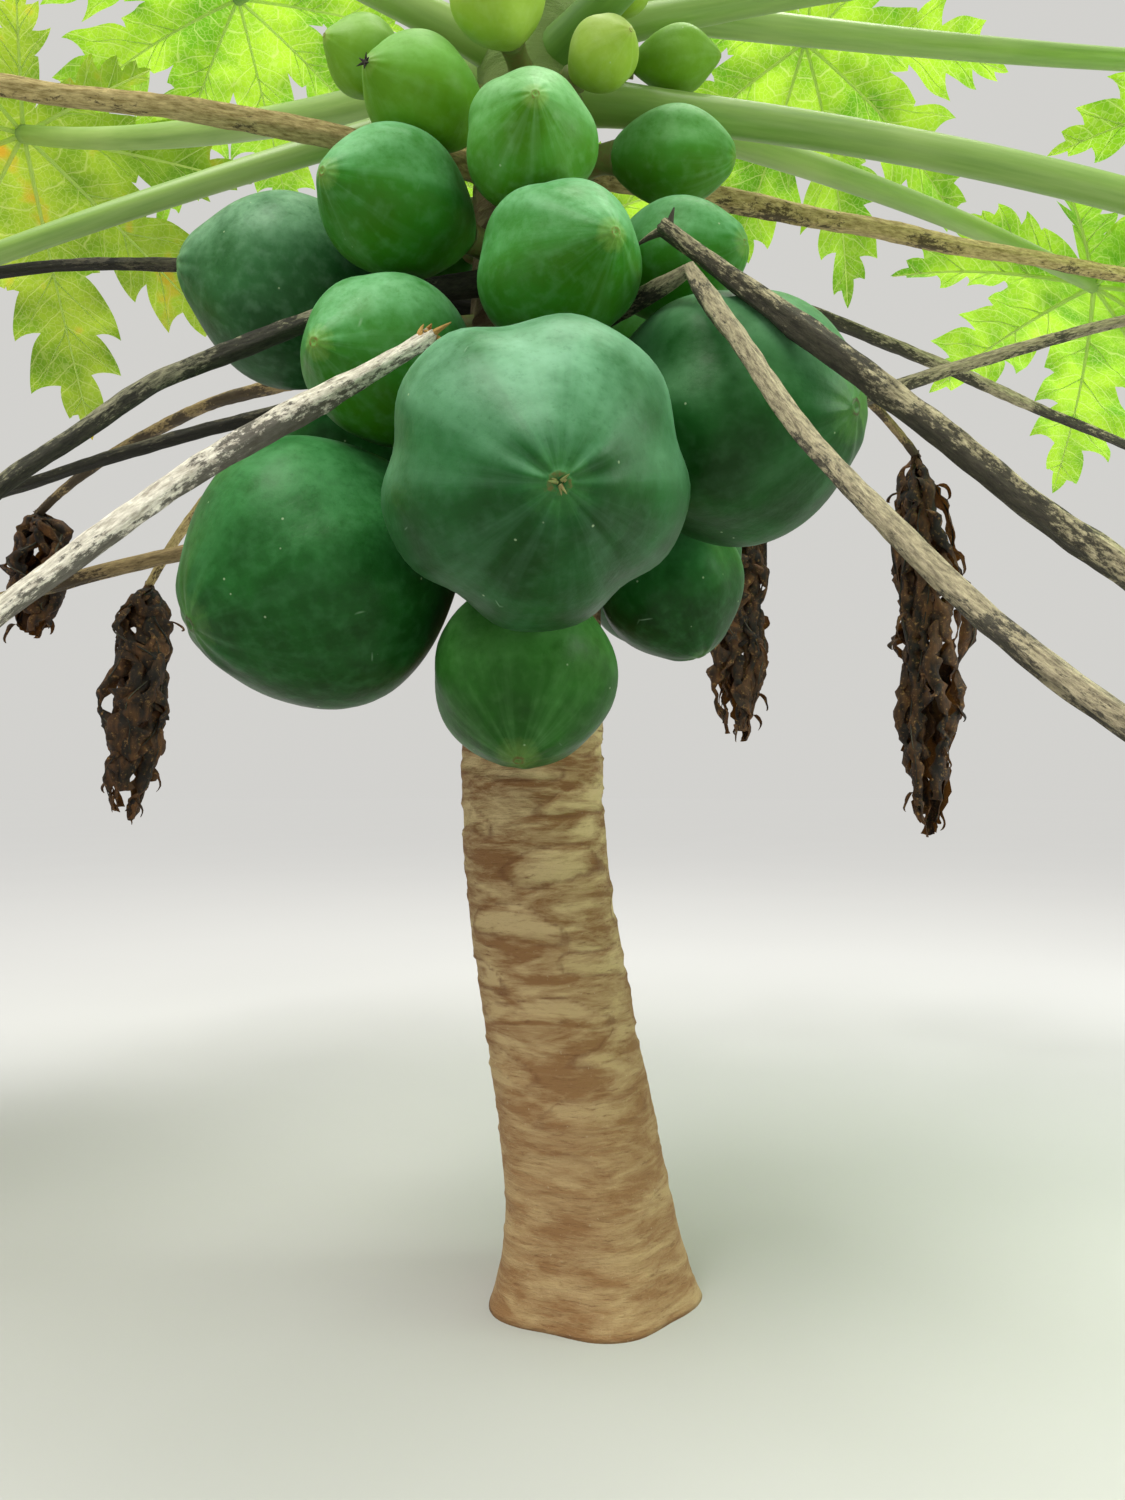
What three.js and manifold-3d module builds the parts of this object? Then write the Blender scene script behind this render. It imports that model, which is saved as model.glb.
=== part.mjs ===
// A dwarf papaya tree in fruit, rooted in the ground: its trunk, fruit, living leaves, dead leaf
// stalks and the withered leaves that hang from them. Millimetres, +Z up, at real size.
// The origin is the middle of the flat cut at the trunk's foot. An azimuth of 0 points to -Y,
// and one of 90 to +X.
import * as THREE from "three";
import { mergeVertices } from "three/addons/utils/BufferGeometryUtils.js";
import Module from "manifold-3d";

const wasm = await Module();
wasm.setup();

const gap = 0.3; // clearance between pieces that touch
const up = new THREE.Vector3(0, 0, 1);

const trunk = {
  height: 1060,
  lean: -42, // sideways shift of the stem, reached at leanHeight
  leanHeight: 350,
  footRadius: 56,
  crownHeight: 820,
  crownRadius: 42,
  tipRadius: 17,
  flare: 17, // extra radius where the roots spread at the ground
  flareHeight: 38,
  buttress: 4, // depth of the folds between the roots
  sides: 14,
};

// Fruit by where it grows: azimuth and height on the trunk, in degrees and mm. Swing turns its axis
// from the azimuth, droop is its slope below the horizontal, lobing how deep the five furrows are.
const frontFruit = [
  { azimuth: -8, swing: 17, height: 556, droop: 18, girth: 162, length: 216, stalk: 44, lobing: 0.045 },
  { azimuth: -49, swing: -5, height: 530, droop: 25, girth: 168, length: 196, stalk: 18, lobing: 0.02 },
  { azimuth: 45, swing: 4, height: 593, droop: 8, girth: 155, length: 188, stalk: 17, lobing: 0.025 },
  { azimuth: 0, swing: -3, height: 485, droop: 54, girth: 114, length: 140, stalk: 16, lobing: 0.015 },
  { azimuth: 84, swing: -1, height: 562, droop: 66, girth: 104, length: 128, stalk: 20, lobing: 0.025 },
  { azimuth: -82, swing: 7, height: 677, droop: -9, girth: 130, length: 172, stalk: 27, lobing: 0.015 },
  { azimuth: -39, swing: 8, height: 623, droop: 9, girth: 103, length: 139, stalk: 25, lobing: 0.02 },
  { azimuth: -41, swing: 6, height: 723, droop: 6, girth: 90, length: 131, stalk: 18, lobing: 0.02 },
  { azimuth: -14, swing: 42, height: 665, droop: 7, girth: 94, length: 142, stalk: 37, lobing: 0.025 },
  { azimuth: -3, swing: 8, height: 739, droop: 1, girth: 80, length: 108, stalk: 30, lobing: 0.025 },
  { azimuth: -31, swing: -8, height: 794, droop: 3, girth: 71, length: 100, stalk: 20, lobing: 0.02 },
  { azimuth: 61, swing: 12, height: 790, droop: 9, girth: 64, length: 88, stalk: 18, lobing: 0.025 },
  { azimuth: 52, swing: 2, height: 698, droop: 2, girth: 76, length: 104, stalk: 20, lobing: 0.025 },
  { azimuth: -100, swing: 0, height: 770, droop: 4, girth: 70, length: 96, stalk: 22, lobing: 0.02 },
  { azimuth: -100, swing: 0, height: 608, droop: 12, girth: 104, length: 132, stalk: 22, lobing: 0.02 },
];
const youngFruit = [
  { azimuth: -11, swing: 2, height: 846, droop: -3, girth: 61, length: 84, stalk: 24, lobing: 0.02 },
  { azimuth: 25, swing: 10, height: 826, droop: 1, girth: 45, length: 61, stalk: 23, lobing: 0.02 },
  { azimuth: 75, swing: 5, height: 864, droop: 1, girth: 45, length: 64, stalk: 28, lobing: 0.02 },
  { azimuth: -69, swing: 20, height: 841, droop: -3, girth: 52, length: 66, stalk: 48, lobing: 0.02 },
  { azimuth: 48, swing: 0, height: 884, droop: -10, girth: 32, length: 50, stalk: 18, lobing: 0.02 },
];
// The far side, which the view leaves out, is filled by a rule from these limits.
const backFruit = {
  count: 8,
  lowest: 560,
  highest: 800,
  fromAzimuth: 124,
  span: 118,
  turn: 0.618, // share of the span from one fruit to the next
  girth: [138, 70],
  length: [172, 100],
  droop: [14, 2],
  stalk: 22,
  lobing: 0.02,
};

const furrows = [26, 125, 172, 238, 303]; // where the big front fruit is furrowed, about its axis
const fruitSteps = [0.03, 0.12, 0.27, 0.44, 0.61, 0.76, 0.88, 0.96, 1];
const youngSteps = [0.05, 0.24, 0.52, 0.78, 0.94, 1];
const fruitMiddle = 0.55; // share of the length from the stem end to the middle
const fruitStalkRadius = 9;
const stalkFlare = 0.45; // how much a living leaf's stalk is swollen at the stem, against its width

// The crown's leaves climb the stem in a spiral, the oldest lowest.
const crown = {
  leaves: 16,
  lowest: 842,
  step: 12,
  firstAzimuth: 56,
  spiral: -137.5,
  stalkRadius: 13,
  rise: [0, 76], // slope of the stalk at the stem, oldest and youngest
  sag: [26, 8], // how far that slope falls along the stalk
  reach: [690, 300],
  blade: [330, 150],
  tilt: 40, // how far the blade is tipped outward
};
// The older leaves keep a direction of their own in place of the spiral's.
const leafHabit = {
  0: { azimuth: 75.8, height: 846, rise: -14.4, sag: 22.4 },
  1: { azimuth: -97, height: 854, rise: -11.7, sag: 10.4 },
  2: { azimuth: 122, height: 865, rise: 5, sag: 10, length: 657, tilt: 31, roll: 20 },
  3: { azimuth: 33.7, height: 867, rise: 2.5, sag: 14 },
  4: { azimuth: -123.4, height: 879, rise: 9, sag: -12.8, length: 650, tilt: 39, roll: 10 },
  5: { azimuth: 105.7, height: 926, rise: 4, sag: -5.2, length: 680, size: 312, tilt: 36, roll: -7 },
  6: { azimuth: -66, height: 877, rise: 12.2, sag: 12, length: 591, tilt: 48, roll: 5 },
  7: { azimuth: 178, rise: 22, sag: 20, length: 654, size: 288, tilt: 42, roll: 10 },
  8: { azimuth: 85.7, height: 894, rise: 9.5, sag: 15.8, length: 536, tilt: 61, roll: 21 },
  9: { azimuth: -141.2, rise: 36, sag: 20, length: 595, size: 272, tilt: 22, roll: 6 },
  10: { azimuth: 146, rise: 32, sag: 20 },
  12: { azimuth: -158.7, rise: 66, length: 513, tilt: 49, roll: -6 },
};

// Dead stalks that are still on the plant. From is how far from the stem's middle a stalk that has
// come off starts; aim is its direction, if not its azimuth; kink is the share of its length where
// it has snapped; withered is the length of the leaf that hangs from its end.
const deadStalks = [
  { azimuth: -70, height: 792, rise: 1, sag: 12.3, length: 519, radius: 9 },
  { azimuth: -102, height: 696, rise: 16.8, sag: 26, length: 533, radius: 7 },
  { azimuth: -51.3, height: 710, rise: -22.3, sag: 30.5, length: 440, radius: 8 },
  { azimuth: -106, height: 666, rise: -8, sag: 3.4, length: 522, radius: 7 },
  { azimuth: -17, from: 184, aim: -42.5, height: 603, rise: -36.4, sag: 10, length: 421, radius: 8.5 },
  { azimuth: -83, height: 565, rise: -11.8, sag: 13, length: 500, radius: 7 },
  { azimuth: 112.5, height: 808, rise: 0.6, sag: -2.5, length: 560, radius: 10 },
  { azimuth: 26.4, from: 178, aim: 63.4, height: 675, rise: -43, sag: 0.8, length: 423, radius: 8 },
  {
    azimuth: 26.8,
    height: 655,
    rise: -5.3,
    sag: 0,
    length: 656,
    radius: 6.5,
    kink: { at: 3 / 11, aim: 16, rise: -48, sag: -21.8 },
  },
  { azimuth: 114, height: 769, rise: -9, sag: 1.5, length: 600, radius: 7 },
  { azimuth: 98, height: 541, rise: 26.2, sag: 12, length: 492, radius: 6 },
  { azimuth: 143.4, height: 751, rise: 13.2, sag: 27.3, length: 783, radius: 8, withered: 495 },
  { azimuth: 159, height: 784, rise: 8, sag: 28.2, length: 744, radius: 8, withered: 330 },
  { azimuth: -139.7, height: 706, rise: 6, sag: 36, length: 744, radius: 8, withered: 290 },
  { azimuth: -132.8, height: 671, rise: 12, sag: 26.8, length: 834, radius: 8, withered: 155 },
];

const leafGreen = 0x5f9a35;
const colours = {
  bark: 0xb39a77,
  fruit: 0x3f7a4a,
  leaf: leafGreen,
  deadStalk: 0x8a7f6c,
  deadLeaf: 0x5d3a24,
};

const radians = THREE.MathUtils.degToRad;
const mix = THREE.MathUtils.lerp;
const ease = (t) => THREE.MathUtils.smoothstep(t, 0, 1);
// A repeatable value from -1 to 1 for item n and its feature k.
const wobble = (n, k) => Math.sin(n * 12.9898 + k * 78.233 + 1.7);

// Outward level direction of an azimuth, and the level direction across it.
const outward = (azimuth) =>
  new THREE.Vector3(Math.sin(radians(azimuth)), -Math.cos(radians(azimuth)), 0);
const across = (azimuth) =>
  new THREE.Vector3(Math.cos(radians(azimuth)), Math.sin(radians(azimuth)), 0);
const sloped = (azimuth, slope) =>
  outward(azimuth)
    .multiplyScalar(Math.cos(radians(slope)))
    .addScaledVector(up, Math.sin(radians(slope)));

// A closed surface through rings of equally many points, each ring counter-clockwise about the way
// the rings advance.
function loft(rings) {
  const sides = rings[0].length;
  const points = rings.flat();
  const first = points.length;
  for (const ring of [rings[0], rings.at(-1)]) {
    const middle = new THREE.Vector3();
    ring.forEach((p) => middle.addScaledVector(p, 1 / sides));
    points.push(middle);
  }
  const faces = [];
  const lastRing = (rings.length - 1) * sides;
  for (let i = 0; i < sides; i++) {
    const next = (i + 1) % sides;
    for (let base = 0; base < lastRing; base += sides) {
      faces.push(base + i, base + next, base + sides + next);
      faces.push(base + i, base + sides + next, base + sides + i);
    }
    faces.push(first, next, i);
    faces.push(first + 1, lastRing + i, lastRing + next);
  }
  return geometryFrom(points, faces);
}

function geometryFrom(points, faces) {
  const geometry = new THREE.BufferGeometry();
  geometry.setAttribute("position", new THREE.Float32BufferAttribute(points.flatMap((p) => p.toArray()), 3));
  geometry.setIndex(faces);
  return geometry;
}

function solidFrom(geometry) {
  const bare = mergeVertices(geometry, 1e-4);
  const mesh = new wasm.Mesh({
    numProp: 3,
    vertProperties: new Float32Array(bare.attributes.position.array),
    triVerts: new Uint32Array(bare.index.array),
  });
  return new wasm.Manifold(mesh);
}

function geometryOf(solid) {
  const { vertProperties, triVerts, numProp } = solid.getMesh();
  const positions = [];
  for (let i = 0; i < vertProperties.length; i += numProp) {
    positions.push(vertProperties[i], vertProperties[i + 1], vertProperties[i + 2]);
  }
  const geometry = new THREE.BufferGeometry();
  geometry.setAttribute("position", new THREE.Float32BufferAttribute(positions, 3));
  geometry.setIndex(Array.from(triVerts));
  return geometry.toNonIndexed();
}

// The largest body of a solid: the scraps and slivers that a cut leaves are dropped.
function wholePiece(solid) {
  const bodies = solid.simplify(0.05).decompose();
  return bodies.reduce((a, b) => (b.volume() > a.volume() ? b : a));
}

// Cuts the others away where they meet the solid.
function clearOf(solid, others) {
  let left = solid;
  for (const other of others) {
    if (left.intersect(other).volume() > 0) left = left.subtract(other);
  }
  return wholePiece(left);
}

// Trunk
function stemAt(height) {
  return new THREE.Vector3(trunk.lean * ease(height / trunk.leanHeight), 0, height);
}

function stemRadius(height) {
  const { footRadius, crownHeight, crownRadius, tipRadius, flare, flareHeight } = trunk;
  if (height > crownHeight) {
    const t = (height - crownHeight) / (trunk.height - crownHeight);
    return mix(crownRadius, tipRadius, t ** 1.6);
  }
  return mix(footRadius, crownRadius, height / crownHeight) + flare * Math.exp(-height / flareHeight);
}

function trunkSolid(grow = 0) {
  const heights = [0, 14, 34, 66, 110, 170, 240, 310, 380, 500, 620, 740, 820, 880, 940, 990, 1030, 1060];
  const rings = heights.map((height) => {
    const centre = stemAt(height);
    if (height === trunk.height) centre.z += grow;
    const fold = trunk.buttress * Math.exp(-height / (2 * trunk.flareHeight));
    return Array.from({ length: trunk.sides }, (_, i) => {
      const angle = (i / trunk.sides) * 2 * Math.PI;
      const radius = stemRadius(height) + grow + fold * Math.cos(5 * angle + 0.6);
      return centre.clone().add(new THREE.Vector3(Math.cos(angle) * radius, Math.sin(angle) * radius, 0));
    });
  });
  return solidFrom(loft(rings));
}

// Fruit
// Half the fruit's width at a share of its length: narrow at the stem, widest past the middle,
// and drawn out to a point at the far end.
function fruitProfile(share) {
  const body = Math.sin(Math.PI * share ** 1.25) ** 0.62;
  const point = 0.08 * Math.exp(-(((share - 1) / 0.05) ** 2));
  return body * (1 - 0.1 * (1 - share) ** 2) + point;
}

// Adds to a fruit the frame that it lies in.
function placedFruit(spec, index) {
  const aim = spec.azimuth + spec.swing;
  const axis = sloped(aim, -spec.droop);
  const seat = stemAt(spec.height);
  const radius = stemRadius(spec.height);
  const start = seat.clone().addScaledVector(outward(spec.azimuth), radius + spec.stalk);
  const centre = start.clone().addScaledVector(axis, fruitMiddle * spec.length);
  return { ...spec, index, axis, seat, start, centre, side: across(aim), planes: [] };
}

// How far the fruit reaches from its middle in a direction.
function fruitReach(fruit, direction) {
  const along = fruit.axis.dot(direction);
  return Math.hypot((fruit.girth / 2) * Math.sqrt(1 - along * along), (fruit.length / 2) * along);
}

// Fruit that would run into each other press flat along a plane between them.
function pressTogether(fruits) {
  fruits.forEach((a, i) =>
    fruits.slice(i + 1).forEach((b) => {
      const across = b.centre.clone().sub(a.centre);
      const distance = across.length();
      across.divideScalar(distance);
      const reachA = fruitReach(a, across);
      const reachB = fruitReach(b, across);
      if (reachA + reachB < distance - 1) return;
      const at = (distance * reachA) / (reachA + reachB);
      const point = a.centre.clone().addScaledVector(across, at);
      a.planes.push({ point, normal: across.clone() });
      b.planes.push({ point, normal: across.clone().negate() });
    }),
  );
}

// Where the furrows between a fruit's five lobes lie, in degrees about its axis.
function furrowsOf({ index }) {
  if (index === 0) return furrows;
  return Array.from({ length: 5 }, (_, i) => 72 * i + 40 * wobble(index, 3) + 9 * wobble(index, i));
}

// Directions about the axis to cut the fruit at, with its width there against a round one.
function lobePoints(fruit) {
  const cuts = fruit.index === 0 ? 4 : 2;
  const bottoms = furrowsOf(fruit);
  return bottoms.flatMap((bottom, i) => {
    const next = i < 4 ? bottoms[i + 1] : bottoms[0] + 360;
    return Array.from({ length: cuts }, (_, k) => {
      const swell = 2 * Math.sin((Math.PI * k) / cuts) ** 0.7 - 1;
      return { angle: radians(mix(bottom, next, k / cuts)), width: fruit.lobing * swell };
    });
  });
}

function fruitSolid(fruit, grow = 0) {
  const { axis, side, start, length, girth, young } = fruit;
  const top = new THREE.Vector3().crossVectors(axis, side);
  const around = lobePoints(fruit);
  const rings = (young ? youngSteps : fruitSteps).map((share) =>
    around.map(({ angle, width }) => {
      const radius = (girth / 2) * fruitProfile(share) * (1 + width * Math.sin(Math.PI * share ** 1.4)) + grow;
      const point = start.clone().addScaledVector(axis, length * share + grow * (2 * share - 1));
      point.addScaledVector(side, Math.cos(angle) * radius);
      point.addScaledVector(top, Math.sin(angle) * radius);
      for (const { point: on, normal } of fruit.planes) {
        const past = normal.dot(point) - normal.dot(on) + gap / 2 - grow;
        if (past > 0) point.addScaledVector(normal, -past);
      }
      return point;
    }),
  );
  const stalkEnd = fruit.seat.clone().addScaledVector(outward(fruit.azimuth), stemRadius(fruit.height) * 0.7);
  const inside = start.clone().addScaledVector(axis, length * 0.2);
  return solidFrom(loft(rings)).add(tube([stalkEnd, inside], [1, 1].map(() => fruitStalkRadius + grow), 6));
}

// A straight or bent tube through points, with a radius at each.
function tube(points, radii, sides, flatten = 1) {
  const rings = points.map((p, k) => {
    const along = points[Math.min(k + 1, points.length - 1)].clone().sub(points[Math.max(k - 1, 0)]).normalize();
    const level = new THREE.Vector3().crossVectors(up, along);
    if (level.length() < 1e-3) level.set(1, 0, 0);
    level.normalize();
    const rise = new THREE.Vector3().crossVectors(along, level);
    return Array.from({ length: sides }, (_, i) => {
      const angle = (i / sides) * 2 * Math.PI;
      return p
        .clone()
        .addScaledVector(level, Math.cos(angle) * radii[k])
        .addScaledVector(rise, Math.sin(angle) * radii[k] * flatten);
    });
  });
  return solidFrom(loft(rings));
}

// A leaf stalk's line: it leaves the stem at its rise and sags more towards its end.
function stalkPath({ azimuth, aim = azimuth, from, height, rise, sag, length, kink }, steps) {
  const point = stemAt(height).addScaledVector(outward(azimuth), from ?? stemRadius(height) * 0.6);
  const points = [point.clone()];
  for (let k = 0; k < steps; k++) {
    const share = (k + 0.5) / steps;
    const bent = kink && share > kink.at;
    const slope = bent
      ? kink.rise - kink.sag * ((share - kink.at) / (1 - kink.at)) ** 1.5
      : rise - sag * share ** 1.5;
    point.addScaledVector(sloped(bent ? kink.aim : aim, slope), length / steps);
    points.push(point.clone());
  }
  return points;
}

// A stalk is swollen where it clasps the stem and thins towards the leaf.
function stalkRadii({ length }, steps, radius, flare) {
  return Array.from({ length: steps + 1 }, (_, k) => {
    const share = k / steps;
    return radius * (1 + flare * Math.exp((-share * length) / 40) - 0.35 * share);
  });
}

// The leaf's outline from its middle: nine lobes, the stalk joining between the two smallest.
const lobes = [
  { angle: 0, size: 1 },
  { angle: 36, size: 0.96 },
  { angle: 74, size: 0.86 },
  { angle: 114, size: 0.68 },
  { angle: 152, size: 0.44 },
];
const lobeShoulder = { turn: 11, size: 0.72 };
const cleftSize = 0.36;
function leafOutline() {
  const mirrored = lobes.slice(1).map(({ angle, size }) => ({ angle: -angle, size })).reverse();
  const all = [...mirrored, ...lobes];
  return all.flatMap(({ angle, size }, i) => {
    const next = all[(i + 1) % all.length];
    const nextAngle = next.angle > angle ? next.angle : next.angle + 360;
    const last = i === all.length - 1;
    const shoulder = size * lobeShoulder.size;
    return [
      { angle: angle - lobeShoulder.turn, size: shoulder },
      { angle, size },
      { angle: angle + lobeShoulder.turn, size: shoulder },
      { angle: (angle + nextAngle) / 2, size: last ? 0.1 : cleftSize * Math.min(size, next.size) },
    ];
  });
}

function bladeSolid({ centre, azimuth, tilt, roll, size }) {
  const thick = size * 0.02;
  const forward = sloped(azimuth, -tilt);
  const side = across(azimuth).applyAxisAngle(forward, radians(roll));
  const normal = new THREE.Vector3().crossVectors(side, forward).normalize();
  if (normal.z < 0) normal.negate();
  const outline = leafOutline();
  const points = [];
  for (const face of [0.5, -0.5]) {
    points.push(centre.clone().addScaledVector(normal, face * thick));
    for (const { angle, size: share } of outline) {
      const radius = size * share;
      points.push(
        centre
          .clone()
          .addScaledVector(forward, Math.cos(radians(angle)) * radius)
          .addScaledVector(side, Math.sin(radians(angle)) * radius)
          .addScaledVector(normal, face * thick - 0.22 * size * share * share),
      );
    }
  }
  const count = outline.length;
  const faces = [];
  for (let i = 0; i < count; i++) {
    const a = 1 + i;
    const b = 1 + ((i + 1) % count);
    const c = a + count + 1;
    const d = b + count + 1;
    faces.push(0, a, b, count + 1, d, c, a, c, d, a, d, b);
  }
  const geometry = geometryFrom(points, faces);
  const made = solidFrom(geometry);
  if (made.volume() > 0) return made;
  for (let i = 0; i < faces.length; i += 3) [faces[i], faces[i + 1]] = [faces[i + 1], faces[i]];
  return solidFrom(geometryFrom(points, faces));
}

function leafSpec(k) {
  const youth = k / (crown.leaves - 1);
  return {
    azimuth: crown.firstAzimuth + crown.spiral * k,
    height: crown.lowest + crown.step * k,
    rise: mix(...crown.rise, youth) + 4 * wobble(k, 1),
    sag: mix(...crown.sag, youth),
    length: mix(...crown.reach, youth ** 3) * (1 + 0.04 * wobble(k, 2)),
    size: mix(...crown.blade, youth ** 4) * (1 + 0.05 * wobble(k, 4)),
    tilt: crown.tilt,
    roll: 8 * wobble(k, 5),
    youth,
    ...leafHabit[k],
  };
}

function leafSolid(spec) {
  const steps = 6;
  const path = stalkPath(spec, steps);
  const radius = crown.stalkRadius * mix(1, 0.7, spec.youth);
  const stalk = tube(path, stalkRadii(spec, steps, radius, stalkFlare), 7);
  return stalk.add(bladeSolid({ ...spec, centre: path.at(-1) }));
}

// A withered leaf: its lobes hang shrivelled together in one ragged column from the stalk's end.
const witheredHeights = [0, 0.05, 0.16, 0.32, 0.5, 0.68, 0.84, 1];
const witheredWidths = [13, 24, 40, 46, 44, 38, 27, 10];
const witheredSides = 9;
function witheredSolid(top, length, index) {
  const rings = witheredHeights.map((share, k) =>
    Array.from({ length: witheredSides }, (_, i) => {
      const angle = (-i / witheredSides) * 2 * Math.PI;
      const radius = witheredWidths[k] * (1 + 0.24 * wobble(index * 9 + k, i));
      const sway = 12 * Math.sin(index + 2.4 * share) - 12 * Math.sin(index);
      const point = new THREE.Vector3(Math.cos(angle) * radius + sway, Math.sin(angle) * radius, 4 - share * length);
      return point.add(top);
    }),
  );
  return solidFrom(loft(rings));
}

// Assembly
const material = (color, roughness) => new THREE.MeshStandardMaterial({ color, roughness, metalness: 0 });
const finishes = {
  bark: material(colours.bark, 0.8),
  fruit: material(colours.fruit, 0.45),
  leaf: material(colours.leaf, 0.55),
  deadStalk: material(colours.deadStalk, 0.85),
  deadLeaf: material(colours.deadLeaf, 0.9),
};
const twoDigits = (n) => String(n).padStart(2, "0");
const papaya = new THREE.Group();
function addPiece(name, solid, finish) {
  const mesh = new THREE.Mesh(geometryOf(solid), finish);
  mesh.name = name;
  papaya.add(mesh);
}

function backFruitSpecs() {
  const { count, lowest, highest, fromAzimuth, span, turn, girth, length, droop, stalk, lobing } = backFruit;
  return Array.from({ length: count }, (_, i) => {
    const share = i / (count - 1);
    return {
      azimuth: fromAzimuth + span * ((0.15 + i * turn) % 1),
      swing: 0,
      height: mix(lowest, highest, share),
      droop: mix(...droop, share),
      girth: mix(...girth, share),
      length: mix(...length, share),
      stalk,
      lobing,
    };
  });
}

const bigFruit = [...frontFruit, ...backFruitSpecs()];
const allFruit = [...bigFruit, ...youngFruit.map((fruit) => ({ ...fruit, young: true }))].map(placedFruit);
pressTogether(allFruit);
const bearing = allFruit.filter((fruit) => !fruit.young);
const fused = allFruit.filter((fruit) => fruit.young);

const stem = fused.reduce((solid, fruit) => solid.add(fruitSolid(fruit)), trunkSolid());
const stemClear = fused.reduce((solid, fruit) => solid.add(fruitSolid(fruit, gap)), trunkSolid(gap));
addPiece("trunk", wholePiece(stem), finishes.bark);

const taken = [stemClear];
bearing.forEach((fruit, i) => {
  const solid = clearOf(fruitSolid(fruit), taken);
  addPiece(`fruit_${twoDigits(i + 1)}`, solid, finishes.fruit);
  taken.push(fruitSolid(fruit, gap));
});

for (let k = 0; k < crown.leaves; k++) {
  const solid = clearOf(leafSolid(leafSpec(k)), taken);
  addPiece(`leaf_${twoDigits(k + 1)}`, solid, finishes.leaf);
}

let withered = 0;
deadStalks.forEach((spec, i) => {
  const steps = spec.kink ? 11 : 5;
  const path = stalkPath(spec, steps);
  const radii = stalkRadii(spec, steps, spec.radius, 0.7);
  addPiece(`dead_stalk_${twoDigits(i + 1)}`, clearOf(tube(path, radii, 6), taken), finishes.deadStalk);
  if (spec.withered) {
    const tip = path.at(-1).clone().lerp(path.at(-2), -gap / path.at(-1).distanceTo(path.at(-2)));
    const clasped = tube([...path.slice(0, -1), tip], radii.map((radius) => radius + gap), 6);
    const solid = clearOf(witheredSolid(path.at(-1), spec.withered, withered), [clasped]);
    withered += 1;
    addPiece(`dead_leaf_${twoDigits(withered)}`, solid, finishes.deadLeaf);
  }
});

export default papaya;
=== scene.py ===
import math
from functools import partial

import bpy
import numpy as np
from mathutils import Matrix, Vector, noise
from mathutils.geometry import delaunay_2d_cdt


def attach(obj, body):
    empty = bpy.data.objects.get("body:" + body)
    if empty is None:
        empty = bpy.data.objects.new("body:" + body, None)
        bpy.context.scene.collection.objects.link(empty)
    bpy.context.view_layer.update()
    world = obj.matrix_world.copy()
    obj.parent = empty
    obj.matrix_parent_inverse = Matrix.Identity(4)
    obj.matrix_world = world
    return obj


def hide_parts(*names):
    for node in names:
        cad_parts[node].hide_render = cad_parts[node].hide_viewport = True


# A dwarf papaya tree in fruit. Lengths are in mm, as on the solids; addPiece turns them to metres.
# An azimuth of 0 points to -Y, towards the camera, and one of 90 to +X.
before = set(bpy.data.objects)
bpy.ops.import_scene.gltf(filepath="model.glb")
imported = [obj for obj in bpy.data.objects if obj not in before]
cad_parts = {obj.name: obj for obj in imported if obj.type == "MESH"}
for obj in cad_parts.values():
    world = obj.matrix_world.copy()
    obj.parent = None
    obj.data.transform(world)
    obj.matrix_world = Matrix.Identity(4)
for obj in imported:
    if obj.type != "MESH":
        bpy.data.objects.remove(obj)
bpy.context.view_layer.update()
print("stage: frame loaded,", len(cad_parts), "solids")


# Small helpers
def mix(a, b, t):
    return a + (b - a) * t


def ease(t):
    t = np.clip(t, 0.0, 1.0)
    return t * t * (3.0 - 2.0 * t)


def wobble(n, k):  # a repeatable value from -1 to 1 for item n and its feature k
    return math.sin(n * 12.9898 + k * 78.233 + 1.7)


def outward(azimuth):
    a = math.radians(azimuth)
    return np.array([math.sin(a), -math.cos(a), 0.0])


def across(azimuth):
    a = math.radians(azimuth)
    return np.array([math.cos(a), math.sin(a), 0.0])


def sloped(azimuth, slope):
    s = math.radians(slope)
    return outward(azimuth) * math.cos(s) + np.array([0.0, 0.0, math.sin(s)])


def unit(v):
    return v / np.linalg.norm(v)


def roundTurn(sides):
    return np.linspace(0, 2 * math.pi, sides, endpoint=False)


def noiseAt(points, size, seed=0.0):  # smooth noise from about -1 to 1, one value a point
    shift = Vector((seed, 2.3 * seed, -seed))
    return np.array([noise.noise(Vector(p) / size + shift) for p in points])


def noiseGrid(rows, columns, place):  # the same noise, a value for each row and column
    return np.array([[noise.noise(Vector(place(r, c))) for c in columns] for r in rows])


class Growth:  # points, faces and pattern places of one piece, gathered before it becomes a mesh
    def __init__(self):
        self.points, self.faces, self.kinds, self.skin, self.lie = [], [], [], [], []
        self.count = 0

    def add(self, points, faces, kind=0, skin=None, lie=None):
        points = np.asarray(points, float)
        self.points.append(points)
        self.faces += [tuple(int(i) + self.count for i in f) for f in faces]
        self.kinds += [kind] * len(faces)
        self.skin.append(points if skin is None else skin)
        self.lie.append(np.zeros((len(points), 3)) if lie is None else lie)
        self.count += len(points)


def addPiece(name, growth, materials, nodes):
    mesh = bpy.data.meshes.new(name)
    points = np.vstack(growth.points) * 0.001
    mesh.from_pydata(points.tolist(), [], growth.faces)
    for label, values in (("skin", growth.skin), ("lie", growth.lie)):
        attribute = mesh.attributes.new(label, "FLOAT_VECTOR", "POINT")
        attribute.data.foreach_set("vector", np.vstack(values).astype(np.float32).ravel())
    for material in materials:
        mesh.materials.append(material)
    mesh.polygons.foreach_set("material_index", growth.kinds)
    mesh.polygons.foreach_set("use_smooth", [True] * len(mesh.polygons))
    mesh.validate()
    mesh.update()
    piece = bpy.data.objects.new(name, mesh)
    bpy.context.scene.collection.objects.link(piece)
    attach(piece, "root")
    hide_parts(*nodes)


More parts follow.
